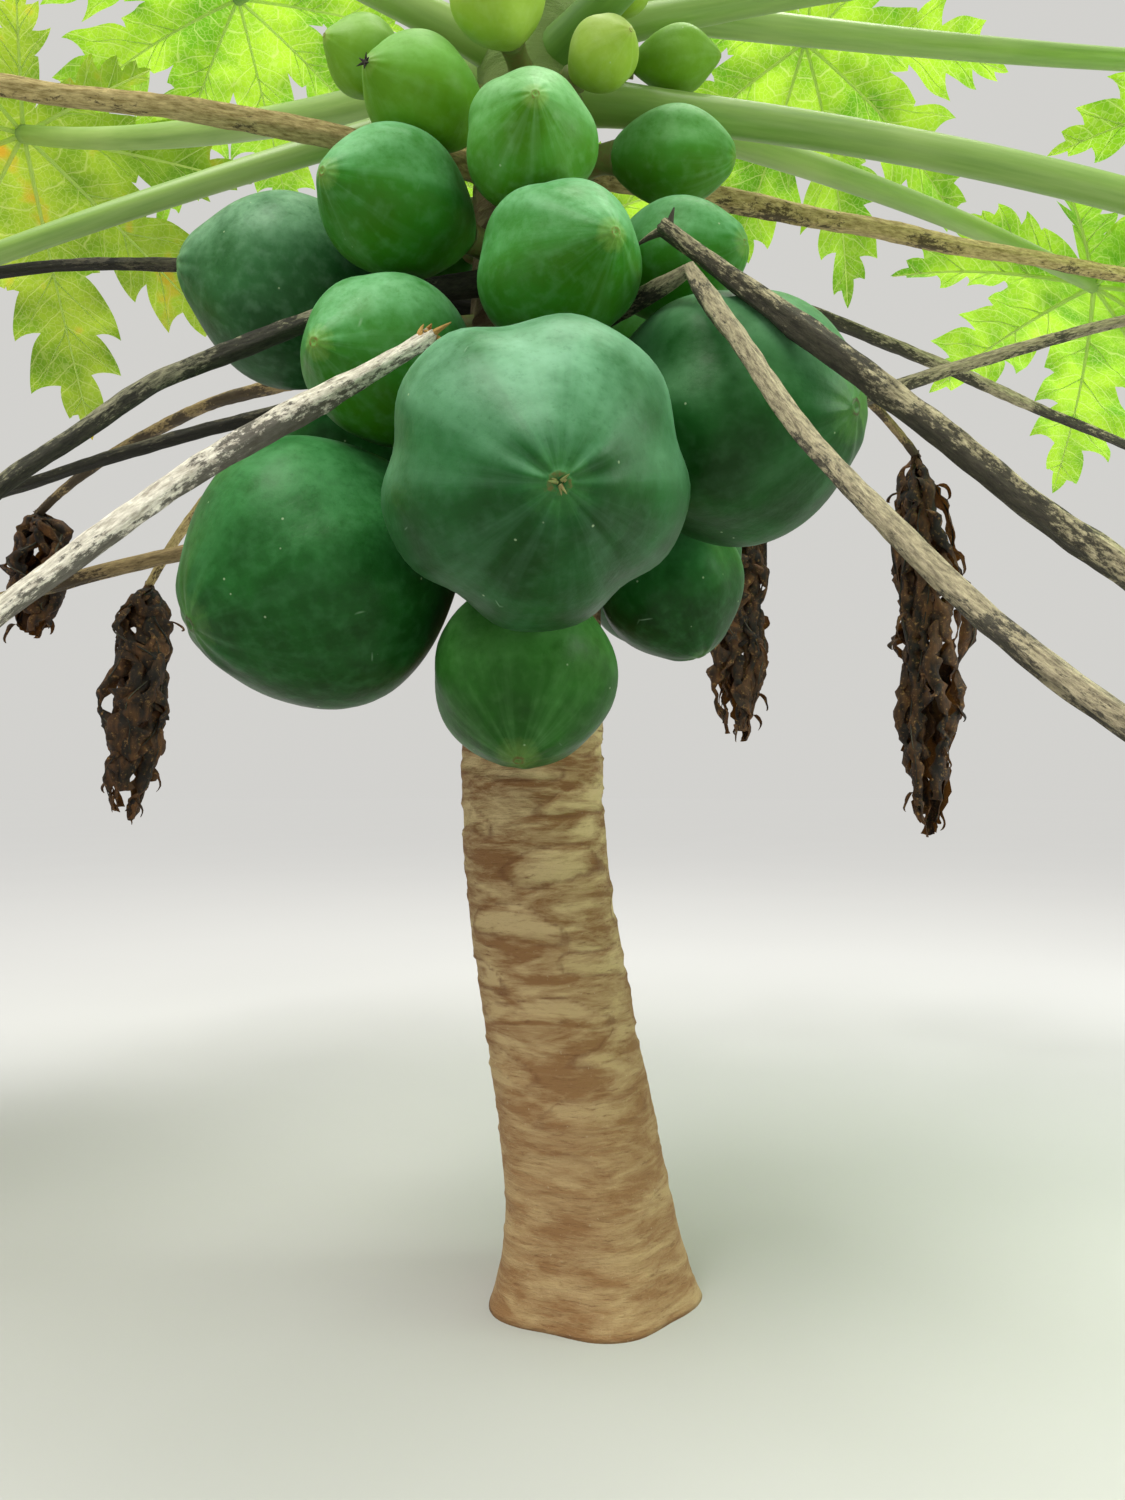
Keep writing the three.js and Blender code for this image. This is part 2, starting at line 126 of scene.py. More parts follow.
def gridFaces(rows, columns, closed=True):  # quads between rings of points, ring after ring
    wide = columns if closed else columns - 1
    return [
        (r * columns + c, r * columns + (c + 1) % columns,
         (r + 1) * columns + (c + 1) % columns, (r + 1) * columns + c)
        for r in range(rows - 1) for c in range(wide)
    ]


def tubeFaces(rows, columns):  # and fans over both ends, whose middles are the two points after the rings
    faces = gridFaces(rows, columns)
    first, last = rows * columns, (rows - 1) * columns
    for c in range(columns):
        d = (c + 1) % columns
        faces += [(first, d, c), (first + 1, last + c, last + d)]
    return faces


def addTube(growth, path, radii, kind=0, flatten=1.0, fibre=0.0):  # radii has a row for each point
    path = np.asarray(path, float)
    rows, sides = radii.shape
    rings, lie = [], []
    distance = 0.0
    for k in range(rows):
        along = unit(path[min(k + 1, rows - 1)] - path[max(k - 1, 0)])
        level = np.cross([0.0, 0.0, 1.0], along)
        level = unit(level) if np.linalg.norm(level) > 1e-3 else np.array([1.0, 0.0, 0.0])
        rise = np.cross(along, level)
        distance += np.linalg.norm(path[k] - path[k - 1]) if k else 0.0
        for i in range(sides):
            a = 2.0 * math.pi * i / sides
            rings.append(path[k] + radii[k, i] * (math.cos(a) * level + flatten * math.sin(a) * rise))
            lie.append((math.cos(a), math.sin(a), distance + fibre))
    rings += [path[0], path[-1]]
    lie += [(0.0, 0.0, fibre), (0.0, 0.0, distance + fibre)]
    growth.add(rings, tubeFaces(rows, sides), kind, lie=np.array(lie))


def bezier(a, b, c, d, steps):
    t = np.linspace(0.0, 1.0, steps)[:, None]
    return (1 - t) ** 3 * a + 3 * t * (1 - t) ** 2 * b + 3 * t * t * (1 - t) * c + t ** 3 * d


def addSpike(growth, start, way, bend, length, radius, kind):  # a torn fibre, thick at its root
    path = bezier(start, start + way * length * 0.35, start + (way + bend) * length * 0.7,
                  start + (way + 1.6 * bend) * length, 8)
    taper = 1 - 0.85 * np.linspace(0, 1, 8)[:, None] ** 1.5
    addTube(growth, path, np.repeat(radius * taper, 7, axis=1), kind)


# Materials. These node settings come back often
fused = {"operation": "MULTIPLY_ADD"}
times = {"operation": "MULTIPLY"}
gently = {"interpolation_type": "SMOOTHSTEP"}
toEdge = {"out": "Distance", "feature": "DISTANCE_TO_EDGE"}


def hexColour(code):  # an sRGB hex value as a linear colour
    parts = [int(code[i:i + 2], 16) / 255 for i in (1, 3, 5)]
    return tuple(p / 12.92 if p <= 0.04045 else ((p + 0.055) / 1.055) ** 2.4 for p in parts) + (1.0,)


def addNode(tree, kind, sockets=None, out=0, **settings):  # returns its output out, or the node for None
    made = tree.nodes.new("ShaderNode" + kind)
    for name, value in settings.items():
        setattr(made, name, value)
    for key, value in (sockets or {}).items():
        if isinstance(value, bpy.types.NodeSocket):
            tree.links.new(value, made.inputs[key])
        else:
            made.inputs[key].default_value = hexColour(value) if isinstance(value, str) else value
    return made if out is None else made.outputs[out]


def newMaterial(name):  # with what adds a node to it, and the attributes that place its patterns
    material = bpy.data.materials.new(name)
    material.use_nodes = True
    material.node_tree.nodes.clear()
    add = partial(addNode, material.node_tree)
    skin = add("Attribute", out="Vector", attribute_name="skin")
    lie = add("Attribute", out="Vector", attribute_name="lie")
    return material, add, skin, lie


def coated(add, colour, coats):  # a coat grows to its most where the pattern goes from low to high
    for pattern, low, high, most, paint in coats:
        amount = add("MapRange", {0: pattern, 1: low, 2: high, 4: most})
        colour = add("Mix", {0: amount, 6: colour, 7: paint}, out=2, data_type="RGBA")
    return colour


def finished(material, add, face, glow=None, share=0.0):  # thin tissue passes a share of the light
    surface = add("BsdfPrincipled", face)
    if glow:
        surface = add("MixShader", {0: share, 1: surface, 2: add("BsdfTranslucent", glow)})
    add("OutputMaterial", {0: surface}, None)
    return material


# Papaya skin: a smooth, waxy cuticle over firm green flesh. To the eye it is satin and cloudy, with faint
# streaks that meet at the flower end, corky specks of about 1.2 mm and a few straight scratches. Its upper
# side is painted lighter and its underside warm and dark, as painted light and painted shade; the cool
# bloom on top is partly real wax and partly a painted reflection of the sky.
skinPlan = {
    "sizes": {"cloud": 40, "grain": 4.5, "dimple": 8, "speckCell": 12, "scratchCell": 70, "bend": 30,
              "gap": 21},  # mm
    "speck": "#b3cba2", "scratch": "#9fc2a0",
    # A dull skin, then a smooth one: how rough the clouds are, how far the grain breaks up the bloom,
    # and how much the dimples lighten where raised and darken where sunk, which is partly mottle and partly
    # painted shading of their relief
    "finishes": ((0.62, 0.35, 0.09, 0.17), (0.5, 0.14, 0.04, 0.07)),
}


def papayaSkin(name, look, smooth):
    material, add, skin, lie = newMaterial(name)
    deep, fresh, waxy, tip, scar, wax, streaks = look
    rough, broken, raised, sunk = skinPlan["finishes"][smooth]
    per = {label: 1 / size for label, size in skinPlan["sizes"].items()}
    share = add("SeparateXYZ", {0: lie}, 2)
    cloud = add("TexNoise", {"Vector": skin, "Scale": per["cloud"], "Detail": 5.0, "Roughness": rough})
    grain = add("TexNoise", {"Vector": skin, "Scale": per["grain"], "Detail": 4.0, "Roughness": 0.7})
    dimple = add("TexNoise", {"Vector": skin, "Scale": per["dimple"], "Detail": 3.0})
    flat = add("VectorMath", {0: lie, 1: (1.0, 1.0, 0.3)}, **times)
    flat = add("VectorMath", {0: skin, 1: (0.0013,) * 3, 2: flat}, **fused)
    streak = add("TexNoise", {"Vector": flat, "Scale": 3.6, "Detail": 4.0, "Roughness": 0.55})
    near = add("MapRange", {0: share, 1: 0.45, 2: 0.97, 3: 0.1})  # streaks are strong near the flower end
    light = add("Math", {0: near, 1: streaks}, **times)
    dark = add("Math", {0: near, 1: 0.3}, **times)
    # The upper side is painted lighter and the underside darker: painted light from above and painted shade
    # below
    up = add("SeparateXYZ", {0: add("NewGeometry", out="Normal")}, 2)
    paintedTopLight = add("MapRange", {0: up, 1: -0.8, 2: 0.9}, **gently)
    body = add("Math", {0: cloud, 1: 1.3, 2: -0.5}, **fused)
    body = add("Math", {0: paintedTopLight, 1: 0.8, 2: body}, use_clamp=True, **fused)
    # The bloom is cloudy, lies on the upper side and is broken up by the grain. How much lies on top is
    # partly real wax and partly a painted reflection of the sky above
    bloom = add("Math", {0: grain, 1: broken, 2: cloud}, **fused)
    above = add("MapRange", {0: up, 1: -0.3, 2: 0.8, 4: wax}, **gently)
    # Corky specks stand in a third of their cells
    cells = add("TexVoronoi", {"Vector": skin, "Scale": per["speckCell"]}, None).outputs
    speck = add("MapRange", {0: cells["Distance"], 1: 0.075, 2: 0.035})
    chosen = add("SeparateColor", {0: cells["Color"]})
    chosen = add("Math", {0: chosen, 1: 0.66}, operation="GREATER_THAN")
    speck = add("Math", {0: speck, 1: chosen}, **times)
    # Scratches are hair-thin lines between cells, kept only where a slow noise is high
    bend = add("TexNoise", {"Vector": skin, "Scale": per["bend"], "Detail": 1.0}, 1)
    bent = add("VectorMath", {0: bend, 1: (12.0,) * 3, 2: skin}, **fused)
    line = add("TexVoronoi", {"Vector": bent, "Scale": per["scratchCell"]}, **toEdge)
    rare = add("TexNoise", {"Vector": skin, "Scale": per["gap"], "Detail": 1.0})
    rare = add("MapRange", {0: rare, 1: 0.69, 2: 0.75, 4: 0.4})
    ragged = add("Math", {0: grain, 1: 0.02, 2: share}, **fused)
    colour = coated(add, deep, (
        (body, 0, 1, 1, fresh), (bloom, 0.245 + broken / 2, 0.775 + broken / 2, above, waxy),
        (streak, 0.48, 0.85, light, waxy), (streak, 0.47, 0.22, dark, deep),
        (grain, 0.44, 0.26, 0.22, deep),
        # The dimples: partly mottle, partly a painted highlight on the raised ones and painted shade in the
        # sunk ones
        (dimple, 0.48, 0.72, raised, waxy), (dimple, 0.48, 0.3, sunk, deep),
        (speck, 0, 1, 0.55, skinPlan["speck"]), (line, 0.008, 0.002, rare, skinPlan["scratch"]),
        # A yellowish halo round the flower's scar, which has dried brown
        (ragged, 0.999, 1.013, 0.5, tip), (ragged, 1.0125, 1.0165, 0.9, scar),
    ))
    gloss = add("MapRange", {0: cloud, 1: 0.3, 2: 0.7, 3: 0.38, 4: 0.52})
    height = add("Math", {0: streak, 1: near, 2: grain}, **fused)
    height = add("Math", {0: dimple, 1: 2.0, 2: height}, **fused)
    height = add("Math", {0: speck, 1: 0.8, 2: height}, **fused)
    bump = add("Bump", {"Strength": 0.3, "Distance": 0.0006, "Height": height})
    return finished(material, add, {
        "Base Color": colour, "Roughness": gloss, "Normal": bump, "IOR": 1.42, "Specular IOR Level": 0.18,
        "Sheen Weight": 0.02, "Sheen Roughness": 0.4, "Sheen Tint": "#c4e2cf",
        "Coat Weight": 0.03, "Coat Roughness": 0.25})


# Fruit stalk: green rind that has turned corky, which gives a yellowish olive with brown flecks.
def fruitStalkRind():
    material, add, skin, _ = newMaterial("corkyFruitStalk")
    fleck = add("TexNoise", {"Vector": skin, "Scale": 1 / 6, "Detail": 5.0, "Roughness": 0.7})  # 6 mm
    colour = coated(add, "#6c7a3c", [(fleck, 0.45, 0.7, 1, "#7a6238")])
    bump = add("Bump", {"Strength": 0.5, "Distance": 0.0008, "Height": fleck})
    return finished(material, add, {"Base Color": colour, "Roughness": 0.6, "Normal": bump})


# Dried flower part: shrivelled tissue, black and matt, as a small dark tuft.
def driedFlower():
    material, add, skin, _ = newMaterial("driedBlackFlower")
    fine = add("TexNoise", {"Vector": skin, "Scale": 1 / 2, "Detail": 3.0})  # 2 mm
    colour = coated(add, "#0d0b09", [(fine, 0, 1, 1, "#2e241c")])
    return finished(material, add, {"Base Color": colour, "Roughness": 0.85})


# Papaya bark: thin cork in wavy bands of cream and red-brown, dented by a broad crescent scar for
# each leaf that fell. The scars are paler, with a dark crease; in the crown the stem is green.
barkPlan = {
    "band": 48, "wrinkle": 16, "grain": 3,  # mm
    "bandFlat": 3.6, "wrinkleFlat": 6.0,  # how many times wider than high
}


def corkBark():
    material, add, skin, lie = newMaterial("scarredPapayaBark")
    b = barkPlan
    fill, lip, level = add("SeparateXYZ", {0: lie}, None).outputs
    wide = add("VectorMath", {0: skin, 1: (1.0, 1.0, b["bandFlat"])}, **times)
    band = add("TexNoise", {"Vector": wide, "Scale": 1 / b["band"], "Detail": 5.0, "Roughness": 0.62,
                            "Distortion": 0.5})
    fine = add("VectorMath", {0: skin, 1: (1.0, 1.0, b["wrinkleFlat"])}, **times)
    wrinkle = add("TexNoise", {"Vector": fine, "Scale": 1 / b["wrinkle"], "Detail": 6.0, "Roughness": 0.7,
                               "Distortion": 0.3})
    grain = add("TexNoise", {"Vector": skin, "Scale": 1 / b["grain"], "Detail": 4.0, "Roughness": 0.7})
    pale = add("Math", {0: fill, 1: 0.11, 2: band}, **fused)
    pale = add("Math", {0: wrinkle, 1: 0.3, 2: pale}, **fused)
    edge = add("Math", {0: grain, 1: 0.5, 2: lip}, **fused)
    colour = coated(add, "#875f36", (
        (pale, 0.56, 0.8, 1, "#ceb788"), (level, 330, 120, 0.5, "#a07a50"),
        (edge, 0.75, 1.3, 0.7, "#6f4526"), (wrinkle, 0.42, 0.27, 0.7, "#6b4526"),
        (grain, 0.64, 0.76, 0.4, "#e2d3b2"),
        # From behind the fruit upwards the bark is painted dark, as painted shade among the crowded fruit;
        # above them the stem is green
        (level, 440, 520, 0.72, "#2f2c18"), (level, 760, 860, 0.85, "#7f9a55"),
    ))
    height = add("Math", {0: wrinkle, 1: 2.0, 2: grain}, **fused)
    bump = add("Bump", {"Strength": 0.8, "Distance": 0.0013, "Height": height})
    return finished(material, add, {"Base Color": colour, "Roughness": 0.8, "Normal": bump})


# Living leaf stalk: smooth hollow rind, satin and pale green, faintly streaked along its length.
def stalkRind(name, look):
    material, add, skin, lie = newMaterial(name)
    deep, pale, blush = look
    long = add("VectorMath", {0: lie, 1: (1.0, 1.0, 0.006)}, **times)
    streak = add("TexNoise", {"Vector": long, "Scale": 2.6, "Detail": 4.0, "Roughness": 0.55})
    slow = add("TexNoise", {"Vector": skin, "Scale": 1 / 120, "Detail": 2.0})  # 120 mm
    colour = coated(add, deep, ((streak, 0.1, 0.9, 1, pale), (slow, 0.5, 0.75, 0.5, blush)))
    bump = add("Bump", {"Strength": 0.2, "Distance": 0.0005, "Height": streak})
    return finished(material, add, {
        "Base Color": colour, "Roughness": 0.42, "Normal": bump, "Coat Weight": 0.08, "Coat Roughness": 0.3,
        "Sheen Weight": 0.15, "Sheen Tint": "#e0efcf"})


# Leaf blade: thin soft tissue that glows lime with the light behind it. Pale side veins run from
# each midrib towards the edge, with a net of finer ones between. The real net is too fine to show,
# so it is drawn with 6 mm meshes.
tissuePlan = {"patch": 80, "fine": 12, "net": 6, "veinStep": 19, "agePatch": 0.12, "through": 0.6}


def bladeTissue(name, look):
    material, add, skin, lie = newMaterial(name)
    t = tissuePlan
    along, aside, _ = add("SeparateXYZ", {0: lie}, None).outputs
    slow = add("TexNoise", {"Vector": skin, "Scale": 1 / t["patch"], "Detail": 3.0, "Roughness": 0.6})
    fine = add("TexNoise", {"Vector": skin, "Scale": 1 / t["fine"], "Detail": 3.0})
    place = add("Math", {0: aside, 1: -0.9, 2: along}, **fused)
    place = add("Math", {0: fine, 1: 6.0, 2: place}, **fused)
    place = add("Math", {0: place, 1: t["veinStep"] / 2}, operation="PINGPONG")
    side = add("MapRange", {0: place, 1: 1.1, 2: 0.3, 4: 0.4})
    net = add("TexVoronoi", {"Vector": skin, "Scale": 1 / t["net"]}, **toEdge)
    net = add("MapRange", {0: net, 1: 0.09, 2: 0.02, 4: 0.22})
    vein = add("Math", {0: side, 1: net}, operation="MAXIMUM")
    colours = []
    for deep, fresh, veined in (look[:3], look[3:6]):  # of the face, then of the light that comes through
        coats = [(slow, 0.37, 0.61, 1, fresh), (vein, 0, 1, 1, veined)]
        coats += [(slow, start, start + t["agePatch"], 0.85, old) for old, start in look[6:]]
        colours.append(coated(add, deep, coats))
    height = add("Math", {0: vein, 1: -1.2, 2: fine}, **fused)
    bump = add("Bump", {"Strength": 0.45, "Distance": 0.001, "Height": height})
    face, glow = colours
    return finished(material, add, {"Base Color": face, "Roughness": 0.48, "Normal": bump},
                    {"Color": glow, "Normal": bump}, t["through"])


# Leaf vein: a firm pale rib on the underside, which passes light and stays lighter than the blade.
def veinRib():
    material, add, skin, _ = newMaterial("paleLeafVein")
    slow = add("TexNoise", {"Vector": skin, "Scale": 1 / 60, "Detail": 2.0})  # 60 mm
    colour = coated(add, "#b4cc70", [(slow, 0, 1, 1, "#dbe6a4")])
    return finished(material, add, {"Base Color": colour, "Roughness": 0.5}, {"Color": "#f2ffb0"}, 0.62)


# Dead stalk: dried fibrous rind, weathered and spotted with mould. To the eye it is matt, with pale
# fibres a millimetre or two wide and dark blotches drawn out along them, thickest underneath.
def driedRind(name, look):
    material, add, skin, lie = newMaterial(name)
    dull, pale, mouldy, mouldFrom, clears = look
    long = add("VectorMath", {0: lie, 1: (1.0, 1.0, 0.032)}, **times)
    fibre = add("TexNoise", {"Vector": long, "Scale": 3.4, "Detail": 6.0, "Roughness": 0.7})
    drawn = add("VectorMath", {0: lie, 1: (1.0, 1.0, 0.062)}, **times)
    mould = add("TexNoise", {"Vector": drawn, "Scale": 2.3, "Detail": 7.0, "Roughness": 0.75})
    slow = add("TexNoise", {"Vector": skin, "Scale": 1 / 60, "Detail": 2.0})  # 60 mm
    _, below, along = add("SeparateXYZ", {0: lie}, None).outputs
    along = add("Math", {0: along, 1: fibreShift}, operation="MODULO")
    much = add("Math", {0: slow, 1: 0.9, 2: mould}, **fused)
    much = add("Math", {0: below, 1: -0.1, 2: much}, **fused)
    much = add("Math", {0: along, 1: -clears, 2: much}, **fused)
    mouldAll = mouldFrom + 0.09
    colour = coated(add, dull, ((fibre, 0.36, 0.64, 1, pale), (much, mouldFrom, mouldAll, 0.88, mouldy)))
    bump = add("Bump", {"Strength": 0.9, "Distance": 0.0013, "Height": fibre})
    return finished(material, add, {"Base Color": colour, "Roughness": 0.86, "Normal": bump})


# Withered leaf: brittle dry tissue, crumpled, from near black in its folds to rust where light passes.
def witheredTissue():
    material, add, skin, _ = newMaterial("witheredLeafTissue")
    hanging = add("VectorMath", {0: skin, 1: (1.0, 1.0, 0.3)}, **times)
    slow = add("TexNoise", {"Vector": hanging, "Scale": 1 / 16, "Detail": 5.0, "Roughness": 0.65})  # 16 mm
    fine = add("TexNoise", {"Vector": skin, "Scale": 1 / 5, "Detail": 4.0, "Roughness": 0.7})  # 5 mm
    colour = coated(add, "#0a0603", ((slow, 0.44, 0.72, 1, "#64401f"), (fine, 0.57, 0.7, 0.68, "#ad824e")))
    bump = add("Bump", {"Strength": 0.9, "Distance": 0.0018, "Height": fine})
    return finished(material, add, {"Base Color": colour, "Roughness": 0.82, "Normal": bump},
                    {"Color": "#8e5c26"}, 0.16)


# Trunk
trunkSize = {
    "height": 1060, "lean": -42, "leanHeight": 350, "footRadius": 56, "crownHeight": 820, "crownRadius": 42,
    "tipRadius": 17, "tipTaper": 1.6, "flare": 17, "flareHeight": 38, "buttress": 4, "buttresses": 5,
    "rings": 400, "sides": 100,
    # The scars of fallen leaves climb in a spiral, and those below the worn height have half gone
    "scars": 80, "lowestScar": 14, "scarStep": 12.5, "scarTurn": 137.5, "scarWidth": 40, "scarHeight": 9.5,
    "worn": 220, "wornShare": 0.35,
    "lip": 1.0, "dent": 0.9, "grain": 0.45, "knobs": 1.3, "waves": 0.9,  # height of each part of the relief
}


def stemAt(height):
    return np.array([trunkSize["lean"] * ease(height / trunkSize["leanHeight"]), 0.0, height])


def stemRadius(height):
    t = trunkSize
    if height > t["crownHeight"]:
        above = (height - t["crownHeight"]) / (t["height"] - t["crownHeight"])
        return mix(t["crownRadius"], t["tipRadius"], above ** t["tipTaper"])
    swell = t["flare"] * math.exp(-height / t["flareHeight"])
    return mix(t["footRadius"], t["crownRadius"], height / t["crownHeight"]) + swell


def buildTrunk():
    t = trunkSize
    rings, sides = t["rings"], t["sides"]
    heights = np.linspace(0.0, t["height"], rings)
    angles = roundTurn(sides)
    base = np.array([[stemRadius(h)] for h in heights])
    fold = t["buttress"] * np.exp(-heights / (2 * t["flareHeight"]))[:, None]
    fold = fold * np.cos(t["buttresses"] * angles + 0.6)[None, :]

    def around(turns, size, seed):
        def place(h, a):
            return math.cos(a) * turns, math.sin(a) * turns, h / size + seed

        return noiseGrid(heights, angles, place)

    wavy, knobs, grain = around(1.6, 55, 0), around(2.2, 30, 9), around(5.0, 5, 20)
    # Each fallen leaf left a crescent scar, sunk inside a thin raised lip
    fill, lip = np.zeros((rings, sides)), np.zeros((rings, sides))
    for k in range(t["scars"]):
        middle = t["lowestScar"] + t["scarStep"] * k + 4 * wobble(k, 7)
        turn = math.radians(t["scarTurn"] * k + 14 * wobble(k, 8))
        aside = (angles - turn + math.pi) % (2 * math.pi) - math.pi
        x = aside[None, :] * stemRadius(middle) / (t["scarWidth"] * (1 + 0.2 * wobble(k, 9)))
        z = heights[:, None] - middle + 7 * wavy + 6 * x * x
        z = z / (t["scarHeight"] * (1 + 0.3 * wobble(k, 10)))
        far = np.sqrt(x * x + z * z) + 0.3 * knobs + 0.12 * grain
        fill = np.maximum(fill, ease((1.0 - far) / 0.3))
        lip = np.maximum(lip, np.exp(-((far - 1.1) / 0.16) ** 2))
    kept = mix(t["wornShare"], 1.0, ease(heights / t["worn"]))[:, None]
    fill, lip = fill * kept, lip * (1 - 0.6 * fill) * kept
    smooth = 1 - 0.4 * ease((heights - t["crownHeight"]) / 80)[:, None]
    relief = t["lip"] * lip - t["dent"] * fill + t["grain"] * grain + t["knobs"] * knobs + t["waves"] * wavy
    radii = base + fold + relief * smooth
    middles = np.array([stemAt(h)[0] for h in heights])[:, None]
    level = np.repeat(heights[:, None], sides, 1)
    points = np.stack([middles + radii * np.cos(angles), radii * np.sin(angles), level], axis=-1)
    ends = [[stemAt(0)[0], 0, 0], [stemAt(t["height"])[0], 0, t["height"]]]
    lie = np.stack([fill, lip, level], axis=-1).reshape(-1, 3)
    growth = Growth()
    growth.add(np.vstack([points.reshape(-1, 3), ends]), tubeFaces(rings, sides),
               lie=np.vstack([lie, [[0, 0, 0], [0, 0, t["height"]]]]))
    return growth


# Fruit, each where it grows: azimuth and height on the trunk, swing of its axis from the azimuth,
# droop below the level, girth, length, stalk length, depth of the lobes and the skin it wears.
fruitPlan = {
    "keys": ("azimuth", "swing", "height", "droop", "girth", "length", "stalk", "lobing", "tone"),
    "front": [
        (-8, 17, 556, 18, 162, 216, 44, 0.045, "bloomed"), (-49, -5, 530, 25, 168, 196, 18, 0.02, "deep"),
        (45, 4, 593, 8, 155, 188, 17, 0.025, "cool"), (0, -3, 485, 54, 114, 140, 16, 0.015, "warm"),
        (84, -1, 562, 66, 104, 128, 20, 0.025, "deep"), (-82, 7, 677, -9, 130, 172, 27, 0.015, "dusty"),
        (-39, 8, 623, 9, 103, 139, 25, 0.02, "fresh"), (-41, 6, 723, 6, 90, 131, 18, 0.02, "fresh"),
        (-14, 42, 665, 7, 94, 142, 37, 0.025, "fresh"), (-3, 8, 739, 1, 80, 108, 30, 0.025, "bright"),
        (-31, -8, 794, 3, 71, 100, 20, 0.02, "light"), (61, 12, 790, 9, 64, 88, 18, 0.025, "bright"),
        (52, 2, 698, 2, 76, 104, 20, 0.025, "fresh"), (-100, 0, 770, 4, 70, 96, 22, 0.02, "fresh"),
        (-100, 0, 608, 12, 104, 132, 22, 0.02, "deep"),
    ],
    "young": [
        (-11, 2, 846, -3, 61, 84, 24, 0.02, "lime"), (25, 10, 826, 1, 45, 61, 23, 0.02, "lime"),
        (75, 5, 864, 1, 45, 64, 28, 0.02, "mild"), (-69, 20, 841, -3, 52, 66, 48, 0.02, "mild"),
        (48, 0, 884, -10, 32, 50, 18, 0.02, "lime"),
    ],
    "back": {
        "count": 8, "lowest": 560, "highest": 800, "fromAzimuth": 124, "span": 118, "turn": 0.618,
        "girth": (138, 70), "length": (172, 100), "droop": (14, 2), "stalk": 22, "lobing": 0.02,
    },
    "furrows": (17, 104, 172, 238, 311),  # of the big front fruit, in degrees about its axis
    # How sharp the furrows are, how much deeper than the lobing, and how far the end's folds reach
    "bigShape": (2.2, 1.15, 0.075), "usualShape": (1.6, 1.6, 0.05),
    # How late a fruit widens behind its stalk, and the power that rounds its ends: less is fuller
    "ends": (1.25, 0.62),
    "fullEnds": {
        1: (1.25, 0.54), 2: (1.25, 0.5), 3: (1.25, 0.54), 4: (1.25, 0.55), 11: (1.08, 0.5), 12: (1.08, 0.5),
    },
    "blunt": (1, 2, 4, 5, 11, 12, 14, 15, 16, 17, 18),
    "beaks": (0.045, 0.015),  # of a pointed fruit and of a blunt one, as shares of the length
    "rim": ((1.003, 1.005, 1.003, 0.999), (0.068, 0.052, 0.034, 0.016)),  # round the scar: along, then wide
    "dents": ((0.5, 11.0, 0.012), (0.16, 5.0, 0.0025)),  # width by the girth, seed, depth by the girth
    "middle": 0.55, "gap": 0.3, "press": 5.0,  # how softly fruit flatten where they touch
    "rings": 52, "sides": 80, "youngRings": 30, "youngSides": 48,
    "stalkRadius": 9, "youngStalk": 0.8, "stalkSteps": 16, "stalkSides": 14,
}
# Each skin in shade and in light, its bloom, the halo round its scar, the scar, its wax and its streaks
skins = {
    "bloomed": ("#0d390a", "#2a7238", "#92c4a6", "#3f7a3c", "#5d5a30", 0.95, 0.15),
    "deep": ("#0a3204", "#206c27", "#63a670", "#4f7c38", "#3c2f1e", 0.6, 0.16),
    "cool": ("#0c3608", "#2a7032", "#88bc94", "#4f7c38", "#3c2f1e", 0.85, 0.12),
    "dusty": ("#16401a", "#3a7844", "#9cc8a8", "#5b8450", "#3c2f1e", 0.9, 0.1),
    "warm": ("#153f06", "#2b701c", "#76b06c", "#6d8a44", "#5d4a2a", 0.5, 0.3),
    "fresh": ("#306806", "#348c34", "#98d2a6", "#86a850", "#6f5c30", 0.85, 0.17),
    "bright": ("#42780c", "#52a244", "#b2e4b2", "#8fae58", "#6f5c30", 0.9, 0.19),
    "light": ("#5a880e", "#68a63a", "#a0cf88", "#8fae58", "#1c1610", 0.6, 0.14),
    "mild": ("#6c9a1c", "#82b246", "#b4d894", "#a0b45e", "#6f5c30", 0.6, 0.14),
    "lime": ("#94b638", "#bcd466", "#dcebb6", "#b4bf6c", "#7a6a3a", 0.65, 0.15),
}
smoothSkins = ("bloomed", "cool")


def fruitSpecs():
    specs = [dict(zip(fruitPlan["keys"], row)) for row in fruitPlan["front"]]
    back = fruitPlan["back"]
    for i in range(back["count"]):
        share = i / (back["count"] - 1)
        specs.append({
            "azimuth": back["fromAzimuth"] + back["span"] * ((0.15 + i * back["turn"]) % 1), "swing": 0,
            "height": mix(back["lowest"], back["highest"], share), "droop": mix(*back["droop"], share),
            "girth": mix(*back["girth"], share), "length": mix(*back["length"], share),
            "stalk": back["stalk"], "lobing": back["lobing"], "tone": "deep" if share < 0.5 else "fresh",
        })
    specs += [dict(zip(fruitPlan["keys"], row), young=True) for row in fruitPlan["young"]]
    for index, spec in enumerate(specs):  # the frame that each fruit lies in
        aim, height = spec["azimuth"] + spec["swing"], spec["height"]
        spec["index"], spec["planes"] = index, []
        spec["axis"] = sloped(aim, -spec["droop"])
        spec["seat"] = stemAt(height)
        spec["start"] = spec["seat"] + outward(spec["azimuth"]) * (stemRadius(height) + spec["stalk"])
        spec["centre"] = spec["start"] + spec["axis"] * fruitPlan["middle"] * spec["length"]
        spec["side"] = across(aim)
        spec["top"] = np.cross(spec["axis"], spec["side"])
    for i, a in enumerate(specs):  # fruit that would run into each other press flat along a plane
        for b in specs[i + 1:]:
            way = b["centre"] - a["centre"]
            distance = np.linalg.norm(way)
            way = way / distance
            reach = []
            for fruit in (a, b):
                along = fruit["axis"] @ way
                wide = fruit["girth"] / 2 * math.sqrt(max(0, 1 - along ** 2))
                reach.append(math.hypot(wide, fruit["length"] / 2 * along))
            if sum(reach) < distance - 1:
                continue
            point = a["centre"] + way * distance * reach[0] / sum(reach)
            a["planes"].append((point, way))
            b["planes"].append((point, -way))
    return specs


